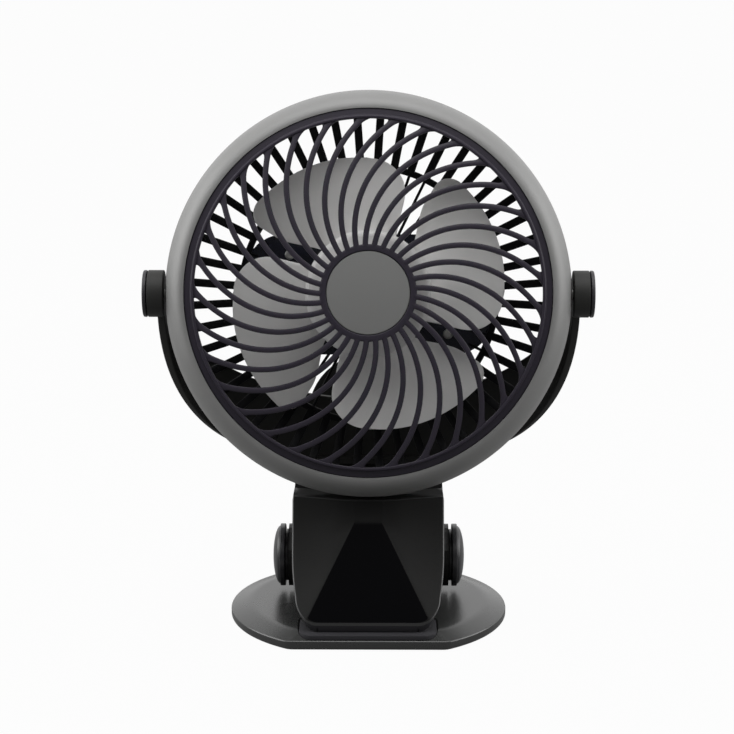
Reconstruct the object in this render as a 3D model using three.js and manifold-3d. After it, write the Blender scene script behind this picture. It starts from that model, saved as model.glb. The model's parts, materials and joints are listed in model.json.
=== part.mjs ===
// Clip fan: a sprung clip stand with a tilting 220 mm fan head, in millimetres, +Z up.
// The origin is on the table, under the middle of the base. The fan looks along -Y.
// The head is drawn in its own group: its Y axis is the fan's axis, and Y grows to the rear.
import * as THREE from "three";
import { mergeVertices } from "three/addons/utils/BufferGeometryUtils.js";
import Module from "manifold-3d";

const wasm = await Module();
wasm.setup();

// ---------------------------------------------------------------- driving dimensions
const GAP = 0.3; // between two pieces that meet
const TURN = 2 * Math.PI;
const BEYOND = 250; // past every piece, for the ends of cutting tools

// facets round a circle
const RING_FACETS = 48;
const ROUND_FACETS = 28;
const SMALL_FACETS = 12;
const SCREW_FACETS = 6;

const radians = THREE.MathUtils.degToRad;

// stand
const BASE_HALF_WIDTH = 77;
const BASE_HALF_DEPTH = 73;
const BASE_FRONT = 60.5; // distance of the flat front edge from the middle
const BASE_TOP = 9;
const BASE_WALL_TOP = 5.7; // where the upright rim turns into the slope
const BASE_SLOPE = 11; // width of the slope
const BASE_EDGE = 1; // chamfer under the rim
const BASE_UNDER = 0.8; // underside above the table
const BASE_RIM = 4;
const COVER_THICKNESS = 1.3;
const BALLAST_THICKNESS = 1.5;
const FOOT_RADIUS = 6;
const FOOT_INSET = [29, 34.6]; // from the base's widest and deepest lines
const GRIP_PAD_RADIUS = 15;
const SEAT_HALF_WIDTH = 37.4;
const SEAT_FRONT = 59.6;
const SEAT_LENGTH = 31;
const SEAT_CORNER = 8;
const SEAT_FLOOR = 6;
const PAD_THICKNESS = 2.5;

// clip
const PIN_Y = 16;
const PIN_Z = 29.6;
const PIN_RADIUS = 3;
const LEVER_HALF_WIDTH = 42.3;
const LEVER_WALL = 2.6;
const LEVER_FOOT_FRONT = 54;
const LEVER_RIM_Z = 14.5; // lower edge of the faceted front
const LEVER_TOP_Z = 75.8;
const LEVER_TOP_FRONT = 29;
const LEVER_TOP_BACK = 53;
const LEVER_CEILING = 69;
const LEVER_CORNER = 14;
const LEVER_WIDEST_Z = 46; // the sides draw in below this height
const LEVER_DRAW = 4.6; // how much narrower each side is at the foot
const FOOT_LENGTH = 24;
const THROAT_TOP = 21;
const JAW_PAD_HALF_WIDTH = 29.6;
const FACET_TOP_Z = 62;
const FACET_BOTTOM_Z = 17;
const FACET_TOP_HALF = 7.6;
const FACET_BOTTOM_HALF = 32.5;
const FACET_OUTER_Z = 43.4; // where the crease of each side facet meets the side
const FACET_FALL = 9; // how far the side facets fall back there
const LEVER_CURVE_STEPS = 4;
const HINGE_DISC_RADIUS = 17.6;
const HINGE_BOSS = 2.7;
const HINGE_GROOVE = 1.6;
const HINGE_GROOVE_DEPTH = 3;
const HINGE_FLANGE = 3;
const HINGE_DOME = 4.1;
const HANDLE_FOOT_Y = 58;
const HANDLE_TOP_Y = 92;
const HANDLE_TOP_Z = 129;
const HANDLE_HALF_WIDTH = 36;
const HANDLE_THICKNESS = 4;
const CHEEK_THICKNESS = 3;
const HANDLE_SCREW_RADIUS = 1.8;
const HANDLE_SCREW_SPREAD = 24;
const SOLE_THICKNESS = 3;
const CASE_SCREW_RADIUS = 1.5;
const SCREW_CLEARANCE = 0.5;
const BUSH_RADIUS = 6.7;
const BUSH_HALF_LENGTH = 14;
const SPRING_WIRE = 1;
const SPRING_TURNS = 5;
const SPRING_PITCH = 2.8;
const HINGE_FACETS = 20;

// yoke and tilt pivots
const PIVOT_Z = 184;
const YOKE_THICKNESS = 4.1;
const YOKE_DEPTH = 50; // how far the bow reaches behind the pivots
const YOKE_UPPER = [188, 113]; // height of the upper edge at the pivots and at the back
const YOKE_LOWER = [171, 76.3];
const YOKE_FOOT_HALF_WIDTH = 30;
const YOKE_FOOT_FRONT = 38.5;
const YOKE_FOOT_THICKNESS = 3.4;
const YOKE_SCREW_SPREAD = 20;
const YOKE_SCREW_SETBACK = 3.75;
const PIVOT_POCKET_RADIUS = 7;
const PIVOT_SEAT = 4; // thickness under the pivot screw's head
const BOSS_RADIUS = 12.8;
const BOSS_LENGTH = 9.4;
const BOSS_GROOVE = 0.5;
const PIVOT_CAP_THICKNESS = 2.5;
const PIVOT_SCREW_RADIUS = 2.5;
const PIVOT_STUB_RADIUS = 7;

// head
const HEAD_TILT = radians(12.5);
const RING_RADIUS = 110.6;
const RING_WALL = 2.6;
const RING_FRONT = -24;
const RING_REAR = 10;
const RING_FRONT_RADIUS = 101.4;
const RING_REAR_RADIUS = 106.5;
const RIM_INNER_RADIUS = 93.2;
const RIM_LIP = 2.7;
const HUB_RING_OUTER = 25.9;
const HUB_RING_INNER = 22.5;
const HUB_FRONT = -34;
const RIB_COUNT = 33;
const RIB_SWEEP = radians(35.2);
const RIB_CURVE = 1.35; // radial at the hub, more and more along the rim
const RIB_WIDTH = 3;
const RIB_DEPTH = 3.4;
const RIB_START = radians(-4.6);
const SPOKE_COUNT = 48;
const SPOKE_WIDTH = 3.4;
const SPOKE_DEPTH = 3;
const INNER_SPOKE_WIDTH = 1.6;
const INNER_SPOKE_DEPTH = 2.2;
const MID_RING_RADIUS = 71;
const MID_RING_WIDTH = 2.6;
const MID_RING_Y = 27;
const REAR_RIM_INNER = 95;
const BOX_HALF_WIDTH = 67;
const BOX_HALF_HEIGHT = 33.5;
const BOX_PLATE_Y = 27;
const BOX_PLATE = 2.6;
const BOX_DEPTH = 20;
const BOX_WALL = 2;
const VENT_COUNT = 5;
const BOARD_HALF = [34, 15];
const BOARD_THICKNESS = 1.6;
const BOARD_STANDOFF = 8;

// motor and impeller
const SHAFT_RADIUS = 2.5;
const CAN_RADIUS = 29;
const CAN_WALL = 1.6;
const CAN_FRONT = 2;
const STATOR_LENGTH = 12;
const ROTOR_RADIUS = 13.5;
const AIR_GAP = 0.6;
const BEARING_RADIUS = 7;
const BEARING_LENGTH = 4.5;
const HUB_RADIUS = 34.3;
const HUB_WALL = 2;
const HUB_FACE = -15;
const HUB_REAR = 14;
const BLADE_COUNT = 4;
const BLADE_RADIUS = 75;
const BLADE_THICKNESS = 1.8;
const BLADE_RISE = [-9.5, 10.5]; // Y of the trailing and of the leading edge
const BLADE_CAMBER = 3;
const KNOB_RADIUS = 11;
const KNOB_LENGTH = 9;

// ---------------------------------------------------------------- solids
const { Manifold, Mesh } = wasm;

function solid(geometry) {
  const bare = (geometry.index ? geometry.toNonIndexed() : geometry.clone());
  bare.deleteAttribute("normal");
  bare.deleteAttribute("uv");
  const merged = mergeVertices(bare, 1e-4);
  const index = merged.index.array;
  const kept = [];
  for (let i = 0; i < index.length; i += 3) {
    const [a, b, c] = [index[i], index[i + 1], index[i + 2]];
    if (a !== b && b !== c && c !== a) kept.push(a, b, c);
  }
  const build = (triangles) =>
    new Manifold(
      new Mesh({
        numProp: 3,
        vertProperties: merged.attributes.position.array,
        triVerts: new Uint32Array(triangles),
      }),
    );
  const made = build(kept);
  if (made.volume() > 0) return made;
  for (let i = 0; i < kept.length; i += 3) [kept[i], kept[i + 1]] = [kept[i + 1], kept[i]];
  return build(kept);
}

function join(solids) {
  return solids.reduce((sum, next) => sum.add(next));
}

function cut(body, tools) {
  return tools.reduce((left, tool) => left.subtract(tool), body);
}

function mesh(name, made, material) {
  const out = made.getMesh();
  const positions = new Float32Array(out.numVert * 3);
  for (let i = 0; i < out.numVert; i++)
    positions.set(out.vertProperties.subarray(i * out.numProp, i * out.numProp + 3), i * 3);
  const geometry = new THREE.BufferGeometry()
    .setAttribute("position", new THREE.BufferAttribute(positions, 3))
    .setIndex(new THREE.BufferAttribute(out.triVerts, 1));
  geometry.computeVertexNormals();
  const result = new THREE.Mesh(geometry, material);
  result.name = name;
  return result;
}

// A solid of revolution round the Y axis, from [radius, y] points.
function revolve(profile, segments = ROUND_FACETS) {
  const closed = [...profile, profile[0]].map(([r, y]) => new THREE.Vector2(r, y));
  return solid(new THREE.LatheGeometry(closed, segments));
}

// A tube of one wall round the Y axis, between two Y values.
function tube(outer, inner, from, to, segments = ROUND_FACETS) {
  return revolve([[inner, from], [outer, from], [outer, to], [inner, to]], segments);
}

// A round bar between two values on an axis, with its middle at a point.
function bar(axis, radius, from, to, centre = [0, 0, 0], segments = SMALL_FACETS) {
  const geometry = new THREE.CylinderGeometry(radius, radius, to - from, segments);
  geometry.translate(0, (from + to) / 2, 0);
  if (axis === "x") geometry.rotateZ(-Math.PI / 2);
  if (axis === "z") geometry.rotateX(Math.PI / 2);
  return solid(geometry.translate(...centre));
}

function screwHole(axis, radius, from, to, centre) {
  return bar(axis, radius, from, to, centre, SCREW_FACETS);
}

function block(x, y, z) {
  const geometry = new THREE.BoxGeometry(x[1] - x[0], y[1] - y[0], z[1] - z[0]);
  geometry.translate((x[0] + x[1]) / 2, (y[0] + y[1]) / 2, (z[0] + z[1]) / 2);
  return solid(geometry);
}

// An outline of [y, z] points drawn through the width, from one X to another.
function sideways(points, from, to) {
  const shape = new THREE.Shape(points.map(([y, z]) => new THREE.Vector2(y, z)));
  const geometry = new THREE.ExtrudeGeometry(shape, { depth: to - from, bevelEnabled: false });
  geometry.translate(0, 0, from);
  // the shape's x, y and depth become Y, Z and X
  geometry.applyMatrix4(new THREE.Matrix4().set(0, 0, 1, 0, 1, 0, 0, 0, 0, 1, 0, 0, 0, 0, 0, 1));
  return solid(geometry);
}

// An outline in X and Z drawn along Y, for a three.js shape.
function backwards(shape, from, to, curveSegments = 4) {
  const geometry = new THREE.ExtrudeGeometry(shape, {
    depth: to - from,
    bevelEnabled: false,
    curveSegments,
  });
  geometry.rotateX(Math.PI / 2).scale(1, -1, 1).translate(0, from, 0);
  return solid(geometry);
}

// An outline in X and Y drawn upwards, for a three.js shape.
function upwards(shape, from, to, curveSegments = 4) {
  const geometry = new THREE.ExtrudeGeometry(shape, {
    depth: to - from,
    bevelEnabled: false,
    curveSegments,
  });
  return solid(geometry.translate(0, 0, from));
}

// A skin over rings of points that all have the same count, with flat ends.
function loft(rings) {
  const count = rings[0].length;
  const index = [];
  for (let i = 0; i < rings.length - 1; i++)
    for (let j = 0; j < count; j++) {
      const [a, b] = [i * count + j, i * count + ((j + 1) % count)];
      index.push(a, b, b + count, a, b + count, a + count);
    }
  const last = (rings.length - 1) * count;
  for (let j = 1; j < count - 1; j++)
    index.push(0, j + 1, j, last, last + j, last + j + 1);
  const geometry = new THREE.BufferGeometry()
    .setAttribute("position", new THREE.Float32BufferAttribute(rings.flat(2), 3))
    .setIndex(index);
  return solid(geometry);
}

function roundedRectangle(x, y, radius) {
  const [[x0, x1], [y0, y1]] = [x, y];
  const shape = new THREE.Shape();
  shape.moveTo(x0 + radius, y0);
  shape.lineTo(x1 - radius, y0);
  shape.absarc(x1 - radius, y0 + radius, radius, -Math.PI / 2, 0);
  shape.lineTo(x1, y1 - radius);
  shape.absarc(x1 - radius, y1 - radius, radius, 0, Math.PI / 2);
  shape.lineTo(x0 + radius, y1);
  shape.absarc(x0 + radius, y1 - radius, radius, Math.PI / 2, Math.PI);
  shape.lineTo(x0, y0 + radius);
  shape.absarc(x0 + radius, y0 + radius, radius, Math.PI, 1.5 * Math.PI);
  return shape;
}

// A pan-head screw with its head on top, standing at a point on an axis.
function screw(axis, radius, from, to, centre, headSide) {
  const headLength = radius;
  const [headFrom, headTo] = headSide > 0 ? [to, to + headLength] : [from - headLength, from];
  return join([
    bar(axis, radius, from, to, centre, SCREW_FACETS),
    bar(axis, radius * 1.9, headFrom, headTo, centre, SCREW_FACETS),
  ]);
}

// ---------------------------------------------------------------- materials
const finish = (color, roughness, metalness = 0) =>
  new THREE.MeshStandardMaterial({ color, roughness, metalness });
const satinGrey = finish(0x6c6d6c, 0.4);
const darkGrey = finish(0x34342f, 0.55);
const capGrey = finish(0x6c6c6b, 0.6);
const grilleBlack = finish(0x2d2a32, 0.5);
const glossBlack = finish(0x17181c, 0.2);
const bladeGrey = new THREE.MeshStandardMaterial({
  color: 0xa9acad,
  roughness: 0.35,
  transparent: true,
  opacity: 0.8,
});
const steel = finish(0xb4b6b8, 0.3, 1);
const copper = finish(0xb06a3c, 0.4, 1);
const rubber = finish(0x1c1c1c, 0.85);
const boardGreen = finish(0x23553a, 0.6);

// ---------------------------------------------------------------- base
// The base's outline at a distance inside its edge: an ellipse with a flat front.
function baseOutline(inset, z) {
  const steps = 36;
  const ring = [];
  for (let i = 0; i < steps; i++) {
    const angle = (i / steps) * TURN;
    const x = (BASE_HALF_WIDTH - inset) * Math.cos(angle);
    const y = (BASE_HALF_DEPTH - inset) * Math.sin(angle);
    ring.push([x, Math.max(y, -(BASE_FRONT - inset * 0.85)), z]);
  }
  return ring;
}

function seatShape(grow) {
  const x = SEAT_HALF_WIDTH + grow;
  const y = [-SEAT_FRONT - grow, -SEAT_FRONT + SEAT_LENGTH + grow];
  return roundedRectangle([-x, x], y, SEAT_CORNER + grow);
}

const footPlaces = [[-1, -1], [1, -1], [-1, 1], [1, 1]].map(([x, y]) => [
  x * (BASE_HALF_WIDTH - FOOT_INSET[0]),
  y * (BASE_HALF_DEPTH - FOOT_INSET[1]),
]);
const handleScrewPlaces = [-HANDLE_SCREW_SPREAD, HANDLE_SCREW_SPREAD].map((x) =>
  [x, HANDLE_FOOT_Y - 3]);
const CAVITY_TOP = BASE_UNDER + COVER_THICKNESS + BALLAST_THICKNESS + 2 * GAP;

function basePlate() {
  const outside = loft([
    baseOutline(BASE_EDGE, BASE_UNDER),
    baseOutline(0, BASE_UNDER + BASE_EDGE),
    baseOutline(0, BASE_WALL_TOP),
    baseOutline(BASE_SLOPE, BASE_TOP),
  ]);
  const cavity = loft([baseOutline(BASE_RIM, 0), baseOutline(BASE_RIM, CAVITY_TOP)]);
  const seat = upwards(seatShape(GAP), SEAT_FLOOR, BASE_TOP + 1);
  const holes = handleScrewPlaces.map(([x, y]) =>
    screwHole("z", HANDLE_SCREW_RADIUS + SCREW_CLEARANCE, 0, BASE_TOP + 1, [x, y, 0]));
  return cut(outside, [cavity, seat, ...holes]);
}

function bottomCover() {
  const inset = BASE_RIM + GAP;
  const top = BASE_UNDER + COVER_THICKNESS;
  const plate = loft([baseOutline(inset, BASE_UNDER), baseOutline(inset, top)]);
  const pockets = footPlaces.map(([x, y]) =>
    bar("z", FOOT_RADIUS + GAP, 0, top - 0.7, [x, y, 0]));
  const middle = bar("z", GRIP_PAD_RADIUS + GAP, 0, top - 0.7);
  return cut(plate, [...pockets, middle]);
}

function ballastPlate() {
  const inset = BASE_RIM + 2;
  const bottom = BASE_UNDER + COVER_THICKNESS + GAP;
  const plate = loft([baseOutline(inset, bottom), baseOutline(inset, bottom + BALLAST_THICKNESS)]);
  const holes = handleScrewPlaces.map(([x, y]) =>
    screwHole("z", HANDLE_SCREW_RADIUS * 2.4, 0, BASE_TOP, [x, y, 0]));
  return cut(plate, holes);
}

const PAD_FOOT_TOP = BASE_UNDER + COVER_THICKNESS - 0.7 - GAP;

// ---------------------------------------------------------------- clip
// Y of the lever's leaning front face at a height.
function faceY(z) {
  const lean = (LEVER_FOOT_FRONT - LEVER_TOP_FRONT) / (LEVER_TOP_Z - LEVER_RIM_Z);
  return -LEVER_FOOT_FRONT + (z - LEVER_RIM_Z) * lean;
}

const LEVER_INSIDE = LEVER_HALF_WIDTH - LEVER_WALL - LEVER_DRAW;
const FOOT_BOTTOM = SEAT_FLOOR + GAP + 2 * PAD_THICKNESS + 2 * GAP;

// The big block in front of a plane through three points, brought back by a depth.
function frontOf(a, b, c, depth) {
  const [p, q, r] = [a, b, c].map((point) => new THREE.Vector3(...point));
  const along = q.clone().sub(p).normalize();
  const normal = along.clone().cross(r.clone().sub(p)).normalize();
  if (normal.y > 0) normal.negate();
  const across = normal.clone().cross(along);
  const geometry = new THREE.BoxGeometry(400, 400, 400).translate(0, 0, 200 - depth);
  geometry.applyMatrix4(new THREE.Matrix4().makeBasis(along, across, normal).setPosition(p));
  return solid(geometry);
}

// The front view of the lever: upright sides that draw in and round over to the foot.
function leverSilhouette(inset) {
  const half = LEVER_HALF_WIDTH - inset;
  const corner = LEVER_CORNER - inset;
  const low = half - LEVER_DRAW;
  const bottom = FOOT_BOTTOM + inset;
  const shape = new THREE.Shape();
  shape.moveTo(-low + corner, bottom);
  shape.lineTo(low - corner, bottom);
  shape.absarc(low - corner, bottom + corner, corner, -Math.PI / 2, 0);
  const bend = (LEVER_WIDEST_Z + bottom + corner) / 2;
  shape.quadraticCurveTo(half, bend, half, LEVER_WIDEST_Z);
  shape.lineTo(half, LEVER_TOP_Z + 1);
  shape.lineTo(-half, LEVER_TOP_Z + 1);
  shape.lineTo(-half, LEVER_WIDEST_Z);
  shape.quadraticCurveTo(-half, bend, -low, bottom + corner);
  shape.absarc(-low + corner, bottom + corner, corner, Math.PI, 1.5 * Math.PI);
  return shape;
}

function frontLever() {
  const footBack = -LEVER_FOOT_FRONT + FOOT_LENGTH;
  const outline = [
    [-LEVER_FOOT_FRONT + 0.6, FOOT_BOTTOM],
    [-LEVER_FOOT_FRONT, LEVER_RIM_Z],
    [-LEVER_TOP_FRONT, LEVER_TOP_Z],
    [LEVER_TOP_BACK - 3, LEVER_TOP_Z],
    [LEVER_TOP_BACK, LEVER_TOP_Z - 4],
    [PIN_Y + 18, PIN_Z - 6],
    [PIN_Y + 11, PIN_Z - 13],
    [PIN_Y, PIN_Z - 16.6],
    [PIN_Y - 13, PIN_Z - 12.6],
    [PIN_Y - 24, THROAT_TOP],
    [footBack + 3, FOOT_BOTTOM + 3],
    [footBack, FOOT_BOTTOM],
  ];
  const wide = LEVER_HALF_WIDTH + 1;
  // below its outer corner a side plane runs along the field, and above it along the strip
  const side = (sign, depth) => {
    const low = [sign * FACET_BOTTOM_HALF, faceY(FACET_BOTTOM_Z), FACET_BOTTOM_Z];
    const middle = [sign * FACET_TOP_HALF, faceY(FACET_TOP_Z), FACET_TOP_Z];
    const high = [sign * FACET_TOP_HALF, faceY(LEVER_TOP_Z), LEVER_TOP_Z];
    const outer = [sign * LEVER_HALF_WIDTH, faceY(FACET_OUTER_Z) + FACET_FALL, FACET_OUTER_Z];
    return frontOf(low, middle, outer, depth).intersect(frontOf(middle, high, outer, depth));
  };
  const outside = cut(sideways(outline, -wide, wide), [side(-1, 0), side(1, 0)])
    .intersect(backwards(leverSilhouette(0), -70, 70, LEVER_CURVE_STEPS));
  const hollow = sideways(
    [
      [faceY(FOOT_BOTTOM + LEVER_WALL) + LEVER_WALL, FOOT_BOTTOM + LEVER_WALL],
      [faceY(LEVER_CEILING) + LEVER_WALL, LEVER_CEILING],
      [LEVER_TOP_BACK + 9, LEVER_CEILING],
      [LEVER_TOP_BACK + 9, 0],
      [footBack, 0],
      [footBack, FOOT_BOTTOM + LEVER_WALL],
    ],
    -wide,
    wide,
  ).intersect(backwards(leverSilhouette(LEVER_WALL), -70, 70, LEVER_CURVE_STEPS).add(
    block([-LEVER_INSIDE, LEVER_INSIDE], [footBack, 70], [0, 30]),
  ));
  const inside = cut(hollow, [side(-1, LEVER_WALL), side(1, LEVER_WALL)]);
  const bossOut = LEVER_HALF_WIDTH + HINGE_BOSS;
  const boss = (from, to) => bar("x", HINGE_DISC_RADIUS, from, to, [0, PIN_Y, PIN_Z], ROUND_FACETS);
  const saddle = bar("x", RING_RADIUS + 1.5, -wide, wide, [0, 0, PIVOT_Z], RING_FACETS);
  const bore = bar("x", PIN_RADIUS + GAP, -BEYOND, BEYOND, [0, PIN_Y, PIN_Z]);
  const screwHoles = yokeScrewPlaces.map(([x, y]) =>
    screwHole("z", CASE_SCREW_RADIUS + SCREW_CLEARANCE, LEVER_CEILING - 1, LEVER_TOP_Z + 1, [x, y, 0]));
  const shell = cut(outside, [inside]);
  const bosses = [boss(LEVER_INSIDE, bossOut), boss(-bossOut, -LEVER_INSIDE)];
  return cut(join([shell, ...bosses]), [saddle, bore, ...screwHoles]);
}

const yokeScrewPlaces = [-YOKE_SCREW_SPREAD, YOKE_SCREW_SPREAD].map((x) =>
  [x, YOKE_FOOT_FRONT + YOKE_SCREW_SETBACK]);

function jawPad() {
  const x = JAW_PAD_HALF_WIDTH;
  const y = [-LEVER_FOOT_FRONT + 1, -LEVER_FOOT_FRONT + FOOT_LENGTH - 1];
  const bottom = FOOT_BOTTOM - GAP - PAD_THICKNESS;
  return upwards(roundedRectangle([-x, x], y, PAD_THICKNESS * 2), bottom, bottom + PAD_THICKNESS);
}

// The handle behind the base: a leaning arched plate with two cheeks that carry the pin.
function rearHandle() {
  const bottom = BASE_TOP + GAP;
  const lean = Math.atan2(HANDLE_TOP_Y - HANDLE_FOOT_Y, HANDLE_TOP_Z - bottom);
  const height = Math.hypot(HANDLE_TOP_Y - HANDLE_FOOT_Y, HANDLE_TOP_Z - bottom);
  const arch = new THREE.Shape();
  arch.moveTo(-HANDLE_HALF_WIDTH, 0);
  arch.lineTo(HANDLE_HALF_WIDTH, 0);
  arch.lineTo(HANDLE_HALF_WIDTH, height - HANDLE_HALF_WIDTH);
  arch.absarc(0, height - HANDLE_HALF_WIDTH, HANDLE_HALF_WIDTH, 0, Math.PI);
  const plate = new THREE.ExtrudeGeometry(arch, {
    depth: HANDLE_THICKNESS,
    bevelEnabled: false,
    curveSegments: 12,
  });
  plate.rotateX(Math.PI / 2 - lean).translate(0, HANDLE_FOOT_Y, bottom);
  const cheekOut = LEVER_INSIDE - 3 * GAP;
  const cheekOutline = [
    [PIN_Y - 11, PIN_Z - 4],
    [PIN_Y - 8, PIN_Z + 8],
    [PIN_Y, PIN_Z + 11.5],
    [PIN_Y + 9, PIN_Z + 10],
    [HANDLE_FOOT_Y + 6, bottom + 40],
    [HANDLE_FOOT_Y + 9, bottom + 34],
    [HANDLE_FOOT_Y, bottom],
    [PIN_Y + 8, bottom],
    [PIN_Y - 6, PIN_Z - 10],
  ];
  const cheek = (from) => sideways(cheekOutline, from, from + CHEEK_THICKNESS);
  const sole = block(
    [-cheekOut, cheekOut],
    [HANDLE_FOOT_Y - 16, HANDLE_FOOT_Y],
    [bottom, bottom + SOLE_THICKNESS],
  );
  const body = join([
    solid(plate).intersect(block([-60, 60], [0, 120], [bottom, 200])),
    cheek(cheekOut - CHEEK_THICKNESS),
    cheek(-cheekOut),
    sole,
  ]);
  const bore = bar("x", PIN_RADIUS + GAP, -BEYOND, BEYOND, [0, PIN_Y, PIN_Z]);
  const screwHoles = handleScrewPlaces.map(([x, y]) =>
    screwHole("z", HANDLE_SCREW_RADIUS + GAP, 0, bottom + SOLE_THICKNESS - 0.6, [x, y, 0]));
  return cut(body, [bore, ...screwHoles]);
}

function hingePin() {
  const end = LEVER_HALF_WIDTH + HINGE_BOSS + HINGE_GROOVE + HINGE_FLANGE;
  return bar("x", PIN_RADIUS, -end, end, [0, PIN_Y, PIN_Z]);
}

// The domed disc at one end of the pin, drawn round Y and turned to point outwards.
function hingeCap(side) {
  const inner = LEVER_HALF_WIDTH + HINGE_BOSS + GAP;
  const flange = inner + HINGE_GROOVE;
  const rim = flange + HINGE_FLANGE;
  const socket = rim + GAP;
  const neck = HINGE_DISC_RADIUS - HINGE_GROOVE_DEPTH;
  const profile = [[PIN_RADIUS + GAP, inner], [neck, inner], [neck, flange], [HINGE_DISC_RADIUS, flange]];
  profile.push([HINGE_DISC_RADIUS, rim]);
  const steps = 3;
  for (let i = 1; i <= steps; i++) {
    const angle = (i / steps) * (Math.PI / 2);
    profile.push([HINGE_DISC_RADIUS * 0.93 * Math.cos(angle), rim + HINGE_DOME * Math.sin(angle)]);
  }
  profile[profile.length - 1][0] = 0;
  profile.push([0, socket], [PIN_RADIUS + GAP, socket]);
  const closed = [...profile, profile[0]].map(([r, y]) => new THREE.Vector2(r, y));
  const geometry = new THREE.LatheGeometry(closed, HINGE_FACETS);
  geometry.rotateZ((-side * Math.PI) / 2).translate(0, PIN_Y, PIN_Z);
  return solid(geometry);
}

// The sleeve on the pin that the spring is wound round.
function springBush() {
  const outer = bar("x", BUSH_RADIUS, -BUSH_HALF_LENGTH, BUSH_HALF_LENGTH, [0, PIN_Y, PIN_Z], HINGE_FACETS);
  return cut(outer, [bar("x", PIN_RADIUS + GAP, -BEYOND, BEYOND, [0, PIN_Y, PIN_Z])]);
}

// Y of the handle's front face at a height.
function handleFrontY(z) {
  const rise = HANDLE_TOP_Z - BASE_TOP - GAP;
  const run = HANDLE_TOP_Y - HANDLE_FOOT_Y;
  const thickness = (HANDLE_THICKNESS * Math.hypot(rise, run)) / rise;
  return HANDLE_FOOT_Y + ((z - BASE_TOP - GAP) * run) / rise - thickness;
}

// The least clear distance between two turns of a wire along its points.
function leastGap(points, stepsPerTurn) {
  const along = 12; // samples on each straight piece
  const samples = points.slice(1).flatMap((point, i) =>
    Array.from({ length: along }, (_, k) => ({
      at: points[i].clone().lerp(point, k / along),
      piece: i + k / along,
    })));
  let least = Infinity;
  for (const a of samples)
    for (const b of samples)
      if (b.piece - a.piece > stepsPerTurn / 2) least = Math.min(least, a.at.distanceTo(b.at));
  return least - 2 * SPRING_WIRE;
}

// A torsion spring wound round the bush: one wire, from the lever's face to the handle.
function torsionSpring() {
  const stepsPerTurn = 8;
  const coilRadius = (BUSH_RADIUS + GAP + SPRING_WIRE) / Math.cos(Math.PI / stepsPerTurn);
  const legZ = PIN_Z + coilRadius;
  const frontEnd = faceY(legZ + SPRING_WIRE) + LEVER_WALL + GAP;
  const rearEnd = handleFrontY(legZ - SPRING_WIRE) - GAP;
  const steps = SPRING_TURNS * stepsPerTurn;
  const width = SPRING_TURNS * SPRING_PITCH;
  const place = (i) => {
    const angle = (i / stepsPerTurn) * TURN;
    return new THREE.Vector3(
      (i / steps - 0.5) * width,
      PIN_Y + coilRadius * Math.sin(angle),
      PIN_Z + coilRadius * Math.cos(angle),
    );
  };
  const coil = Array.from({ length: steps + 1 }, (_, i) => place(i));
  const points = [coil[0].clone().setY(frontEnd), ...coil, coil[steps].clone().setY(rearEnd)];
  console.log(`torsion_spring least gap ${leastGap(points, stepsPerTurn).toFixed(2)} mm`);
  const across = new THREE.Vector3(1, 0, 0);
  const rings = points.map((point, i) => {
    const before = points[Math.max(i - 1, 0)];
    const after = points[Math.min(i + 1, points.length - 1)];
    const along = after.clone().sub(before).normalize();
    const up = across.clone().cross(along).normalize();
    const side = along.clone().cross(up);
    return Array.from({ length: 5 }, (_, k) => {
      const angle = (k / 5) * TURN;
      const place = point.clone()
        .addScaledVector(up, SPRING_WIRE * Math.cos(angle))
        .addScaledVector(side, SPRING_WIRE * Math.sin(angle));
      return place.toArray();
    });
  });
  return loft(rings);
}

// ---------------------------------------------------------------- yoke
const ARM_INSIDE = RING_RADIUS + 0.6;
const ARM_OUTSIDE = ARM_INSIDE + YOKE_THICKNESS;

function yoke() {
  const steps = 22;
  const height = ([ends, middle], share) => middle + (ends - middle) * (1 - share);
  const rings = Array.from({ length: steps + 1 }, (_, i) => {
    const angle = (i / steps - 0.5) * Math.PI;
    const share = Math.cos(angle);
    const at = (inset, edge) => [
      (ARM_OUTSIDE - inset) * Math.sin(angle),
      (YOKE_DEPTH - inset) * share,
      height(edge, share),
    ];
    return [
      at(0, YOKE_LOWER),
      at(0, YOKE_UPPER),
      at(YOKE_THICKNESS, YOKE_UPPER),
      at(YOKE_THICKNESS, YOKE_LOWER),
    ];
  });
  const boss = (from) => bar("x", BOSS_RADIUS, from, from + BOSS_LENGTH, [0, 0, PIVOT_Z], HINGE_FACETS);
  const foot = [YOKE_LOWER[1], YOKE_LOWER[1] + YOKE_FOOT_THICKNESS];
  const shelf = block(
    [-YOKE_FOOT_HALF_WIDTH, YOKE_FOOT_HALF_WIDTH],
    [YOKE_FOOT_FRONT, YOKE_DEPTH - 3],
    foot,
  );
  const bore = bar("x", PIVOT_SCREW_RADIUS + GAP, -BEYOND, BEYOND, [0, 0, PIVOT_Z]);
  const headPocket = (side) => {
    const [inner, outer] = [side * (ARM_INSIDE + PIVOT_SEAT), side * (ARM_INSIDE + BOSS_LENGTH + 1)];
    const [from, to] = [Math.min(inner, outer), Math.max(inner, outer)];
    return bar("x", PIVOT_POCKET_RADIUS, from, to, [0, 0, PIVOT_Z]);
  };
  const screwHoles = yokeScrewPlaces.map(([x, y]) =>
    screwHole("z", CASE_SCREW_RADIUS + GAP, foot[0] - 1, foot[1] + 1, [x, y, 0]));
  const body = join([loft(rings), boss(ARM_INSIDE), boss(-ARM_INSIDE - BOSS_LENGTH), shelf]);
  return cut(body, [bore, headPocket(1), headPocket(-1), ...screwHoles]);
}

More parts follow.
